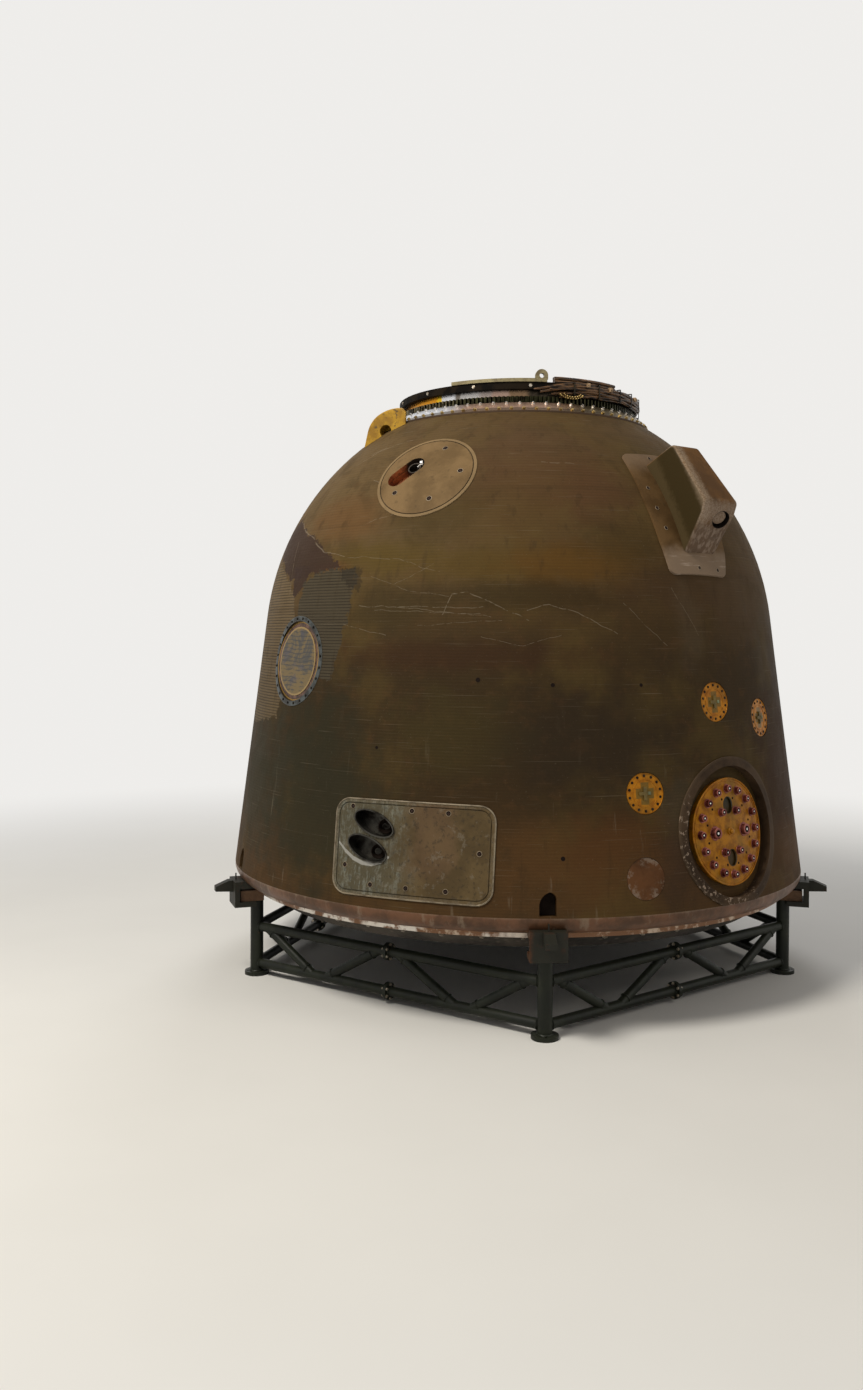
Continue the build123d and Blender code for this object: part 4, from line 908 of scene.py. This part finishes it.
# Fairing: a leaning ablator body on a base plate that is bolted to the dome. Its left side is
# painted dark as painted shade. Its top is scorched brown with edges worn pale, and the pale nose
# also carries painted highlights at its corner. A plugged outlet sits in its sloped nose.
FAIRING = on_hull(35.5, 1.900)
SLOPE_RISE = (0.136 - 0.002) / (0.160 - 0.070)
OUTLET = shifted(FAIRING, 0.036, -0.084, 0.002 + (0.160 - 0.084) * SLOPE_RISE) @ Matrix.Rotation(
    math.atan(SLOPE_RISE), 4, "X")
coat = tan_finish("fairing_coat", (0.125, 0.059, 0.017), (0.070, 0.033, 0.010),
                  (0.030, 0.018, 0.008))
u, v, w = coat.within(FAIRING)
ragged = (coat.noise(55.0, 5, 0.7) - 0.5) * 0.05
speckle = coat.noise(150.0, 4, 0.7).step(0.42, 0.56)
streaked = coat.noise(60.0, 4, 0.6, coat.stretched(1, 1, 0.12)).step(0.46, 0.62)
outer = w.step(0.055, 0.100)
coat.layer((u + ragged).step(-0.026, -0.064) * outer * (speckle * 0.50 + 0.38),
           (0.25, 0.185, 0.125))
# The pale nose is worn, and is also a painted highlight at its corner.
coat.layer((v + ragged).step(-0.020, -0.052) * v.step(-0.105, -0.075) * (speckle * 0.34 + 0.36),
           (0.27, 0.205, 0.150))
coat.layer((v + ragged).step(-0.085, -0.110),
           streaked.mix((0.105, 0.072, 0.050), (0.215, 0.165, 0.125)), 0.75)
coat.layer((u + ragged).step(0.080, 0.105) * outer, (0.19, 0.135, 0.090), 0.5)
# Painted shade: the left side face is painted dark, lighter near its foot and pale along its top
# rim.
shaded_side = (w + ragged).step(0.055, 0.020).mix((0.033, 0.0215, 0.0065), (0.060, 0.041, 0.017))
shaded_side = ((w + ragged * 0.5).step(0.128, 0.158) * 0.6).mix(shaded_side, (0.20, 0.145, 0.092))
coat.layer(u.step(-0.0805, -0.0840), shaded_side)
over, along, _ = coat.within(OUTLET)
ovals = []
for across, up, wide, tall in ((0.0, 0.0, 0.0455, 0.0355), (-0.006, 0.006, 0.0353, 0.0253)):
    aside, above = (over - across) / wide, (along - up) / tall
    ovals.append(aside * aside + above * above)
coat.layer(ovals[0].step(1.02, 0.98) * ovals[1].step(0.98, 1.02), (0.010, 0.007, 0.005))
finished(coat.done(), "fairing_body")

foot = tan_finish("fairing_foot", (0.108, 0.061, 0.024), (0.066, 0.036, 0.013))
v = foot.within(FAIRING)[1]
rubbed = v + (foot.noise(14.0, 5) - 0.5) * 0.12
foot.layer(rubbed.step(-0.115, -0.185).most(rubbed.step(0.18, 0.30) * 0.5),
           (0.235, 0.172, 0.120), 0.65)
level_rub = foot.noise(55.0, 4, 0.6, foot.stretched(0.15, 0.15, 1.5)).step(0.55, 0.66)
foot.layer(level_rub * 0.6 * v.step(-0.15, -0.19), (0.33, 0.26, 0.20))
finished(foot.done(), "fairing_base")
bolt_pits("fairing_bolts", FAIRING, (
    (-0.145, 0.122), (-0.147, 0.028), (-0.141, -0.060), (-0.024, -0.222), (0.084, -0.226),
    (0.150, -0.080), (0.165, 0.040), (0.168, 0.150), (0.110, 0.275), (-0.040, 0.282)),
          0.0068, 0.0084)

# Hood beside the ring: a small shell in chipped yellow paint, fixed to the dome, with its opening
# to the side.
hood = Finish("hood_yellow", (0.40, 0.225, 0.018), Roughness=0.5, Specular_IOR_Level=0.2)
hood.blots((0.24, 0.125, 0.012), 12.0, 5, 0.4, 0.62, roughness=0.6)
hood.blots((0.09, 0.055, 0.02), 60.0, 4, 0.58, 0.70).grain(70.0, 0.0010)
finished(hood.done(), "yellow_hood")

# Parachute bay in the back of the dome: a metal cup sunk in the skin, with a bolted ablator rim
# and three steel strap eyes on its floor.
BAY = on_hull(152, 2.100)
BAY_BOLT_REACH, BAY_RIM_LIFT, BAY_FLOOR = 0.2105, 0.022, -0.1815
finished(metal("bay_metal", (0.24, 0.23, 0.20), (0.12, 0.105, 0.08), 0.42), "chute_bay")
finished(tan_finish("bay_rim", (0.15, 0.10, 0.05), (0.09, 0.055, 0.024)).done(), "chute_rim")
fasteners("bay_rim_bolts", [(wrapped(BAY, u, v, BAY_RIM_LIFT), skin_out(wrapped(BAY, u, v)))
                            for u, v in circle(BAY_BOLT_REACH, 28)],
          bolt_steel, (0.0055, 0.0032), (0.0080, 0.001))
eyes = Shape()
for turn in (30, 150, 270):
    seat = shifted(BAY @ spun(turn), 0.168, 0, BAY_FLOOR)
    eyes.block(seat, 0.030, 0.046, 0.0, 0.006)
    eyes.tube([seat @ Vector((0, y, z + 0.020)) for y, z in circle(0.018, 16)], 0.0045, loop=True)
eyes.made("bay_eyes", bolt_steel, "bare_metal")

# Thruster panels, front and back: scorched plates with a beaded edge, held by eight bolts, round a
# pair of slanted oval steel nozzles. The left half is worn whitish below the ovals, where a pale
# lip and a frosted patch show.
PANELS = (on_hull(-23.5, 0.660), on_hull(156.5, 0.660))
PANEL_BOLTS = ((0.006, 0.142), (0.144, 0.141), (0.261, 0.006), (0.147, -0.134), (-0.147, -0.133),
               (-0.003, -0.134), (-0.240, 0.146), (-0.262, -0.070))
LIP_BENDS = ((-0.293, 0.009, 0), (-0.262, -0.020, 0), (-0.226, -0.044, 0), (-0.186, -0.058, 0),
             (-0.146, -0.060, 0), (-0.110, -0.050, 0), (-0.080, -0.030, 0))
LIP_HALVES = (0.005, 0.007, 0.0085, 0.0085, 0.0075, 0.006)
for letter, place in zip("ab", PANELS):
    bolt_pits("panel_bolts_" + letter, place, PANEL_BOLTS, 0.0082, 0.0032)
panel = Finish("panel_skin", (0.100, 0.066, 0.026), Specular_IOR_Level=0.2)
cloud = panel.noise(8.0, 6, 0.65)
fine = panel.noise(60.0, 5, 0.65)
runs = panel.noise(70.0, 6, 0.75, panel.stretched(1, 1, 0.14))
PANEL_HALF_WIDTH, PANEL_HALF_HEIGHT = 0.315, 0.176
frost = lip = edge = rose = 0.0
for place in PANELS:
    u, v, w = panel.within(place)
    near = abs(w).step(0.12, 0.10)
    shift = (cloud - 0.5) * 0.30
    frost = ((u + shift).step(0.06, -0.13) * near).most(frost)
    rosy = (abs(u - 0.09) + shift).step(0.13, 0.05) * v.step(-0.13, -0.05)
    rose = (rosy * near).most(rose)
    crescent, flat = 0.0, panel.flat(u, v)
    for start, end, half in zip(LIP_BENDS, LIP_BENDS[1:], LIP_HALVES):
        crescent = panel.line(flat, start, end).step(half, half - 0.0025).most(crescent)
    lip = (crescent * near).most(lip)
    border = (PANEL_HALF_WIDTH - abs(u)).least(PANEL_HALF_HEIGHT - abs(v)).step(0.026, 0.002)
    edge = (border * near).most(edge)
panel.layer(cloud.step(0.36, 0.64), (0.064, 0.041, 0.015))
panel.layer(rose, (0.120, 0.066, 0.036), 0.35)
panel.layer(frost, (0.060, 0.062, 0.042), 0.55)
panel.layer(frost * (runs + fine * 0.6).step(0.76, 0.96), (0.180, 0.185, 0.150), 0.7)
panel.layer(edge * (fine.step(0.44, 0.60) * 0.45 + 0.1), (0.205, 0.165, 0.110))
panel.layer(fine.step(0.54, 0.64), (0.023, 0.017, 0.010), 0.55)
panel.blots((0.19, 0.165, 0.125), 26.0, 5, 0.58, 0.66, 0.35, roughness=0.7)
panel.layer(lip, (0.34, 0.33, 0.30), 0.8)
finished(panel.done(Normal=panel.bump(fine, 0.0008), Roughness=0.62 - lip * 0.35),
         "thruster_panels")
finished(metal("nozzle_steel", (0.070, 0.066, 0.056), (0.014, 0.012, 0.010), 0.42,
               stain_share=0.75), "thruster_nozzles")

BEAD_CORNER, BEAD_STEP = 0.058, 0.03
beading, throats = Shape(), Shape()
for place in PANELS:
    corners = []
    for x, y, first in ((0.255, -0.116, -90), (0.255, 0.116, 0), (-0.255, 0.116, 90),
                        (-0.255, -0.116, 180)):
        for step in range(9):
            turn = math.radians(first + step * 90 / 8)
            corners.append(Vector((x + BEAD_CORNER * math.cos(turn),
                                   y + BEAD_CORNER * math.sin(turn))))
    outline = []
    for near, far in zip(corners, corners[1:] + corners[:1]):
        parts = max(1, round((far - near).length / BEAD_STEP))
        outline += [near.lerp(far, share / parts) for share in range(parts)]
    beading.tube([wrapped(place, u, v, 0.0034) for u, v in outline], 0.0030, 6, loop=True)
    for u, v in ((-0.145, 0.088), (-0.168, -0.004)):
        seat = shifted(place, u + 0.028, v - 0.010, -0.0465) @ Matrix.Rotation(0.5, 4, "Y")
        throats.lathe(((0.0235, -0.004), (0.0275, 0.012), (0.0255, 0.013), (0.0140, 0.0),
                       (0.0120, -0.004)), seat, 24, loop=True)
beading.made("panel_beads", metal("bead_worn", (0.24, 0.195, 0.13), (0.10, 0.075, 0.045), 0.45,
                                  metallic=0.4), "tan_plate")
throats.made("nozzle_throats", soot_lining, "dark_metal")

# Portholes: a coated blue-grey metal ring, screwed down, round a bright thin gold ring, a pinkish
# land and a window whose old layers shimmer gold and blue.
PORTHOLES = (on_hull(-55.4, 1.330), on_hull(124.6, 1.330))
PORTHOLE_SCREW_REACH = 0.1695


def from_porthole(plate):
    """Distance from the axis of the nearer porthole."""
    nearest = None
    for place in PORTHOLES:
        u, v, w = plate.within(place)
        away = u.hypot(v) + w.step(-0.5, -1.0) * 9.0
        nearest = away.least(nearest) if nearest else away
    return nearest


frame_coat = Finish("porthole_frame_coat", (0.080, 0.090, 0.088), Metallic=0.75)
reach, blot = from_porthole(frame_coat), frame_coat.noise(26.0, 6, 0.65)
frame_coat.layer(blot.step(0.40, 0.62), (0.034, 0.033, 0.029))
frame_coat.layer(reach.step(0.1775, 0.1800), (0.17, 0.18, 0.17), 0.5)
frame_coat.layer(reach.step(0.1604, 0.1598), (0.020, 0.016, 0.012))
frame_coat.layer(reach.step(0.1588, 0.1584), (0.34, 0.20, 0.045))
frame_coat.layer(reach.step(0.1535, 0.1525), blot.step(0.42, 0.58).mix(
    (0.15, 0.080, 0.055), (0.060, 0.036, 0.026)))
finished(frame_coat.done(Roughness=blot * 0.3 + 0.28, Normal=frame_coat.bump(blot, 0.0008)),
         "porthole_frames")
glass = Finish("gold_glass", (0.125, 0.080, 0.018), Metallic=0.12, Roughness=0.32,
               Specular_IOR_Level=0.3, Coat_Weight=0.1, Coat_Roughness=0.08)
reach, cloud = from_porthole(glass), glass.noise(7.0, 6, 0.7, distortion=1.2)
ripple = glass.math("SINE", (glass.z + glass.noise(10.0, 3, 0.5) * 0.035) * (2 * math.pi / 0.017))
glass.layer(cloud.step(0.42, 0.58), (0.040, 0.034, 0.024))
glass.blots((0.040, 0.036, 0.058), 12.0, 4, 0.54, 0.66, 0.5)
glass.layer(ripple.step(0.35, 0.85) * cloud.step(0.36, 0.50), (0.020, 0.018, 0.016), 0.8)
glass.layer(reach.step(0.128, 0.134) * reach.step(0.142, 0.138), (0.25, 0.160, 0.050))
finished(glass.done(Normal=glass.bump(cloud, 0.0010)), "porthole_glass")
screws = []
for place in PORTHOLES:
    out = axis_of(place)
    for u, v in circle(PORTHOLE_SCREW_REACH, 24, 180 / 24):
        point = place @ Vector((u, v, 0))
        screws.append((point - out * (hull_gap(point) - 0.0015), out))
fasteners("porthole_screws", screws, ring_dark, (0.0040, 0.0022), (0.0058, 0.0008))


# Round plates on the wall: gold plating, held by a row of dark screws near the rim, with a raised
# bead, and a plus in the middle with a small green-tinged cap. A worn tan disc lies flush near the
# foot.
def gilt(name, light, dark, dull):
    """Gold plating, clouded and a little worn."""
    plate = Finish(name, light, Metallic=0.35, Specular_IOR_Level=0.2)
    blot = plate.noise(30.0, 5, 0.65)
    plate.layer(blot.step(0.40, 0.64), dark).blots(dull, 9.0, 4, 0.48, 0.66, 0.5)
    return plate.grain(200.0, 0.0003).set(Roughness=blot * 0.3 + 0.28)


PLATES = (on_hull(35.0, 1.190), on_hull(50.3, 1.118), on_hull(17.6, 0.870))
PLATE_FACE, PLATE_SCREW_RING = -0.0040, 0.0635
gold = gilt("gold_plate", (0.38, 0.145, 0.003), (0.23, 0.076, 0.0015), (0.17, 0.085, 0.008))
beads, caps, screws = Shape(), Shape(), []
for place in PLATES:
    u, v, w = [abs(part) + gold.noise(90.0) * 0.003 for part in gold.within(place)]
    bars = (u - 0.016).most(v - 0.040).least((v - 0.018).most(u - 0.036))
    gold.layer(bars.step(0.0025, 0.0008) * w.step(0.08, 0.07), (0.085, 0.066, 0.014), 0.75)
    screws += [(place @ Vector((x, y, PLATE_FACE)), axis_of(place))
               for x, y in circle(PLATE_SCREW_RING, 14, 180 / 14)]
    for ring, thick in ((0.0728, 0.0018), (0.0500, 0.0012)):
        beads.lathe([(ring + x, PLATE_FACE + y) for x, y in circle(thick, 6)], place, 48,
                    loop=True)
    caps.block(shifted(place, 0.015, 0.001, 0), 0.009, 0.011, -0.001, 0.0035, 0.0008)
gold_plate = gold.done()
finished(gold_plate, "round_plates")
finished(metal("cross_olive", (0.125, 0.080, 0.010), (0.060, 0.044, 0.010), 0.6, metallic=0.0),
         "plate_crosses")
fasteners("plate_screws", screws, ring_dark, (0.0036, 0.0016), (0.0052, 0.0006))
beads.made("plate_beads", gold_plate, "yellow_metal")
caps.made("plate_caps", metal("cap_green", (0.16, 0.19, 0.10), (0.10, 0.10, 0.05), 0.4,
                              metallic=0.4), "yellow_metal")
worn = tan_finish("worn_disc", (0.108, 0.046, 0.018), (0.058, 0.025, 0.010))
u, v, _ = worn.within(on_hull(16.9, 0.570))
reach = u.hypot(v)
worn.layer(worn.noise(20.0, 6, 0.7).step(0.50, 0.60) * reach.step(0.030, 0.070),
           (0.25, 0.20, 0.155), 0.55)
worn.layer(reach.step(0.0735, 0.0760), (0.018, 0.011, 0.007), 0.7)
finished(worn.done(), "worn_plate")

# Umbilical plate in its recess: a gold plate inside a beaded rim, rose contacts with dark centres,
# two dark oval sockets, a stub in the middle, and a soot-dark recess with flaking paint, whose
# raised outer edge is painted lighter as a painted highlight.
UMBILICAL = on_hull(37.0, 0.706)
PIN_RING, INNER_RING, SOCKET_RING = 0.160, 0.086, 0.126
PIN, WIDE_PIN = 0.013, 0.020
recess = tan_finish("umbilical_recess", (0.062, 0.038, 0.021), (0.030, 0.018, 0.010),
                    (0.012, 0.009, 0.007))
u, v, _ = recess.within(UMBILICAL)
recess.layer(recess.noise(60.0, 6, 0.7).step(0.55, 0.62) * (u + v).step(-0.02, -0.20),
             (0.36, 0.27, 0.20), 0.8)
# Painted highlight: the raised outer edge of the recess is painted lighter.
recess.layer(u.hypot(v).step(0.268, 0.279), (0.10, 0.070, 0.044), 0.3)
finished(recess.done(), "umbilical_rim")
pin_rose = metal("pin_rose", (0.24, 0.085, 0.070), (0.085, 0.020, 0.018), 0.34)
finished(pin_rose, "umbilical_pins")
face = gilt("umbilical_gilt", (0.34, 0.135, 0.002), (0.20, 0.070, 0.0012), (0.14, 0.080, 0.006))
u, v, _ = face.within(UMBILICAL)
oval = ((abs(v) - 0.098) / 0.0335).hypot(u / 0.0285)
face.layer(oval.step(1.02, 0.94), v.step(0.06, 0.13).mix((0.036, 0.020, 0.003),
                                                         (0.016, 0.014, 0.004)))
finished(face.done(), "umbilical_plate")
rims, eyes, dots = Shape(), Shape(), Shape()
pin_seats = [(PIN_RING, index * 22.5, PIN) for index in range(16)]
pin_seats += [(INNER_RING, turn, PIN) for turn in (60, 120, 240, 300)]
pin_seats += [(INNER_RING, turn, WIDE_PIN) for turn in (0, 180)]
for reach, turn, radius in pin_seats:
    u, v = circle(reach, 1, turn)[0]
    seat = seated(UMBILICAL, u, v, -0.004)
    rims.lathe(sized(radius, ((0.62, -0.001), (1.02, -0.001), (1.02, 0.0012), (0.86, 0.0026),
                              (0.70, 0.0026), (0.62, 0.0014))), seat, loop=True)
    rims.lathe(((radius + 0.0004, 0.0), (radius * 1.36, 0.0), (radius * 1.30, 0.0018),
                (radius + 0.0004, 0.0018)), shifted(seat, 0, 0, -0.0142), loop=True)
    eyes.lathe(sized(radius, ((0.62, -0.0010), (0.62, 0.0006), (0.2, 0.0005))), seat)
    dots.lathe(sized(radius, ((0.24, 0.0002), (0.24, 0.0018), (0.12, 0.0024))), seat, 10)
rims.made("pin_rims", pin_rose, "bare_metal")
eyes.made("pin_eyes", soot_lining, "dark_metal")
dots.made("pin_dots", bright_steel, "bare_metal")
trim, sockets = Shape(), Shape()
for reach, thick, lift in ((0.1985, 0.0032, -0.0175), (0.1880, 0.0014, -0.0178)):
    trim.tube([wrapped(UMBILICAL, u, v, lift) for u, v in circle(reach, 64)], thick, loop=True)
trim.lathe(((0.0150, 0.0), (0.0150, 0.004), (0.0105, 0.006), (0.0105, 0.013), (0.0075, 0.015)),
           shifted(UMBILICAL, 0, 0, -0.0185))
trim.made("umbilical_trim", gold_plate, "yellow_metal")
for u, v in circle(SOCKET_RING, 12, 15):
    sockets.lathe(((0.0046, -0.0004), (0.0046, 0.0005), (0.001, 0.0004)),
                  seated(UMBILICAL, u, v, -0.018), 12)
sockets.made("umbilical_sockets", soot_lining, "dark_metal")

# Small holes in the wall, where sensors and screws were: round and burnt dark inside, drilled
# square to the skin.
holes = Shape()
for turn, height, radius in ((-12.2, 1.275, 0.0085), (1.2, 1.259, 0.0075), (17.9, 1.258, 0.0065),
                             (2.55, 0.650, 0.0080), (-31.0, 1.02, 0.006), (140.0, 1.26, 0.008),
                             (166.0, 1.25, 0.008)):
    holes.lathe(sized(radius, ((1.0, -0.0008), (1.0, 0.0005), (0.3, 0.0004))),
                seated(on_hull(turn, height), 0, 0, 0.0), 16)
holes.made("wall_holes", soot_lining, "dark_metal")

# Foot of the hull: a glossy brown shoulder under the wall, with arched lock pockets lined in soot.
# Its lower rim is rubbed pale.
finished(soot_lining, "lock_pocket_liners")
shoulder = Finish("shoulder_gloss", (0.135, 0.060, 0.028), Specular_IOR_Level=0.3)
cloud = shoulder.noise(10.0, 6, 0.65)
run = shoulder.noise(26.0, 5, 0.6, shoulder.stretched(1, 1, 0.2))
shoulder.layer(cloud.step(0.38, 0.62), (0.070, 0.033, 0.015))
shoulder.layer(run.step(0.56, 0.70), (0.24, 0.18, 0.12), 0.5)
shoulder.layer((shoulder.z + run * 0.03).step(0.452, 0.463), (0.19, 0.135, 0.085), 0.45)
finished(shoulder.grain(80.0, 0.0006).done(Roughness=cloud * 0.3 + 0.26), "base_ring")

# Lip: a metal flange round the mouth of the hull, brown from heat and scraped bright at the front
# left, where the scrapes are also painted near white as a painted highlight, with a circle of bolts
# in its underside.
rim = Finish("lip_metal", (0.170, 0.085, 0.044), Metallic=0.7)
scrape, turn = rim.noise(20.0, 6, 0.7), rim.turn()
# Front left, the scrapes are painted near white: worn bare metal, and a painted highlight on the
# side facing the lamp.
scraped_and_lit = turn.step(6.0, -14.0) * turn.step(-75.0, -55.0) * rim.noise(5.0, 3).step(0.42, 0.54)
rim.layer(scrape.step(0.50, 0.62), (0.46, 0.36, 0.27))
rim.layer(scraped_and_lit * scrape.step(0.40, 0.52), (0.66, 0.61, 0.54))
finished(rim.done(Roughness=0.6 - scrape * 0.45, Normal=rim.bump(scrape, 0.0005)), "lip_flange")
fasteners("lip_bolts", [(spot(index * 7.5 + 3.75, 1.146, 0.3508),
                         spot(index * 7.5 + 3.75, 0.565, -0.825)) for index in range(48)],
          bolt_steel, (0.0075, 0.005), (0.0110, 0.0015))

# Bottom dish behind the lip: charred ablator, cracked into small cells, with six metal landing
# motors set in it. Each motor has a dark throat and a circle of bolts.
char = Finish("dish_char", (0.058, 0.048, 0.038), Roughness=0.8, Specular_IOR_Level=0.2)
cell = char.cells(26.0)
char.blots((0.022, 0.019, 0.016), 5.0, 6, 0.38, 0.62, roughness=0.65)
char.layer(cell.step(0.30, 0.10), (0.15, 0.125, 0.10), 0.35)
finished(char.done(Normal=char.bump(cell + char.noise(60.0, 4), 0.003)), "base_dish")
finished(metal("motor_steel", (0.26, 0.245, 0.22), (0.10, 0.085, 0.07), 0.42), "landing_motors")
MOTOR_REACH, MOTOR_BOLT_REACH, MOTOR_FACE = 0.420, 0.080, 0.2430
motor_bolts, motor_throats = [], Shape()
for turn in range(90, 450, 60):
    middle = spot(turn, MOTOR_REACH, 0)
    motor_throats.lathe(((0.018, 0.2580), (0.018, 0.2550), (0.030, 0.2500), (0.030, 0.2580)),
                        Matrix.Translation(middle), loop=True)
    motor_bolts += [(middle + Vector((x, y, MOTOR_FACE)), -UP)
                    for x, y in circle(MOTOR_BOLT_REACH, 8)]
fasteners("motor_bolts", motor_bolts, bolt_steel, (0.0055, 0.004), (0.008, 0.001))
motor_throats.made("motor_throats", ring_dark, "dark_metal")

# Stand: five legs joined by chords and diagonals of brush-painted dark green steel tube, welded
# where the tubes meet and bolted through the chord joints. The front lock bracket is rusty, and its
# left edge is painted in lighter rust tones as a painted highlight.
stand = Finish("stand_green", (0.0125, 0.0150, 0.0085), Specular_IOR_Level=0.22)
cloud = stand.noise(12.0, 5, 0.6)
stand.layer(cloud.step(0.40, 0.62), (0.0070, 0.0085, 0.0055))
stand.blots((0.10, 0.060, 0.030), 55.0, 5, 0.66, 0.70, 0.5, roughness=0.7)
# Faces that look up are painted a little paler.
facing_up = stand.add("ShaderNodeSeparateXYZ", {0: stand.normal()}, 2).step(0.5, 1.0)
stand.layer(facing_up, (0.08, 0.082, 0.062), 0.12).grain(150.0, 0.0004)
stand_green = stand.done(Roughness=cloud * 0.25 + 0.34)
finished(stand_green, "stand_feet", "stand_legs", "low_chords", "high_chords", "chord_joints",
         "diagonals")
bracket = Finish("bracket_coat", (0.015, 0.014, 0.008), Specular_IOR_Level=0.25)
cloud = bracket.noise(22.0, 6, 0.65)
# Painted highlight: the bracket's left edge, where the lamp catches it, is painted in lighter rust
# tones.
lit_left_edge = (bracket.x + cloud * 0.03).step(-0.035, -0.052) * bracket.y.step(-1.0, -1.15)
bracket.layer(bracket.noise(12.0), (0.010, 0.010, 0.0065))
bracket.layer(lit_left_edge.most(cloud.step(0.56, 0.64) * 0.7),
              cloud.step(0.42, 0.6).mix((0.070, 0.028, 0.010), (0.030, 0.014, 0.007)))
finished(bracket.done(Roughness=cloud * 0.3 + 0.42, Normal=bracket.bump(cloud, 0.0008)),
         "lock_brackets", "lock_tongues", "lock_pins")
finished(metal("rusty_block", (0.15, 0.080, 0.040), (0.080, 0.040, 0.020), 0.6, metallic=0.2),
         "lock_blocks")

LEG_REACH = 1.180
SIDE_REACH = LEG_REACH * math.cos(math.pi / 5)
SIDE_HALF = LEG_REACH * math.sin(math.pi / 5)
LOW, HIGH = 0.047, 0.202
SPREAD, LEG_GAP, JOINT_HALF = 0.034, 0.027, 0.008
JOINT_BOLT_REACH, CHORD_RADIUS, DIAGONAL_RADIUS, LEG_RADIUS = 0.0272, 0.0205, 0.0186, 0.0278
JOINT_WELD, LEG_WELD, FOOT_TOP = 0.0095, 0.0262, 0.0165
joint_bolts, welds = [], Shape()


def weld(middle, way, radius, thick=0.0034):
    """A bead of weld round a tube."""
    seat = aimed(middle, way)
    welds.tube([seat @ Vector((x, y, 0.0012 * math.sin(index * 2.7)))
                for index, (x, y) in enumerate(circle(radius, 20))], thick, 6, loop=True)


for index in range(5):
    turn = 72 * index + 36
    out, along = outward(turn), sideways(turn)
    for height in (LOW, HIGH):
        middle = spot(turn, SIDE_REACH, height)
        for x, y in circle(JOINT_BOLT_REACH, 6, 30):
            for way in (1, -1):
                joint_bolts.append((middle + out * x + UP * y + along * way * JOINT_HALF,
                                    along * way))
        for way in (-1, 1):
            weld(middle + along * way * JOINT_WELD, along, 0.0203)
            weld(middle + along * way * (SIDE_HALF - LEG_WELD), along, CHORD_RADIUS)
    for foot, head in ((-SIDE_HALF / 2 - SPREAD, -SIDE_HALF + LEG_GAP + SPREAD),
                       (-SIDE_HALF / 2 + SPREAD, -SPREAD - JOINT_HALF),
                       (SIDE_HALF / 2 - SPREAD, SPREAD + JOINT_HALF),
                       (SIDE_HALF / 2 + SPREAD, SIDE_HALF - LEG_GAP - SPREAD)):
        start = spot(turn, SIDE_REACH, LOW) + along * foot
        end = spot(turn, SIDE_REACH, HIGH) + along * head
        way = (end - start).normalized()
        reach = CHORD_RADIUS / abs(way.z)
        weld(start + way * reach, way, DIAGONAL_RADIUS)
        weld(end - way * reach, way, DIAGONAL_RADIUS)
    weld(spot(72 * index, LEG_REACH, FOOT_TOP), UP, LEG_RADIUS, 0.004)
welds.made("stand_welds", stand_green, "stand_paint")
fasteners("joint_bolts", joint_bolts, bolt_steel, (0.0050, 0.0040), (0.0066, 0.0010))
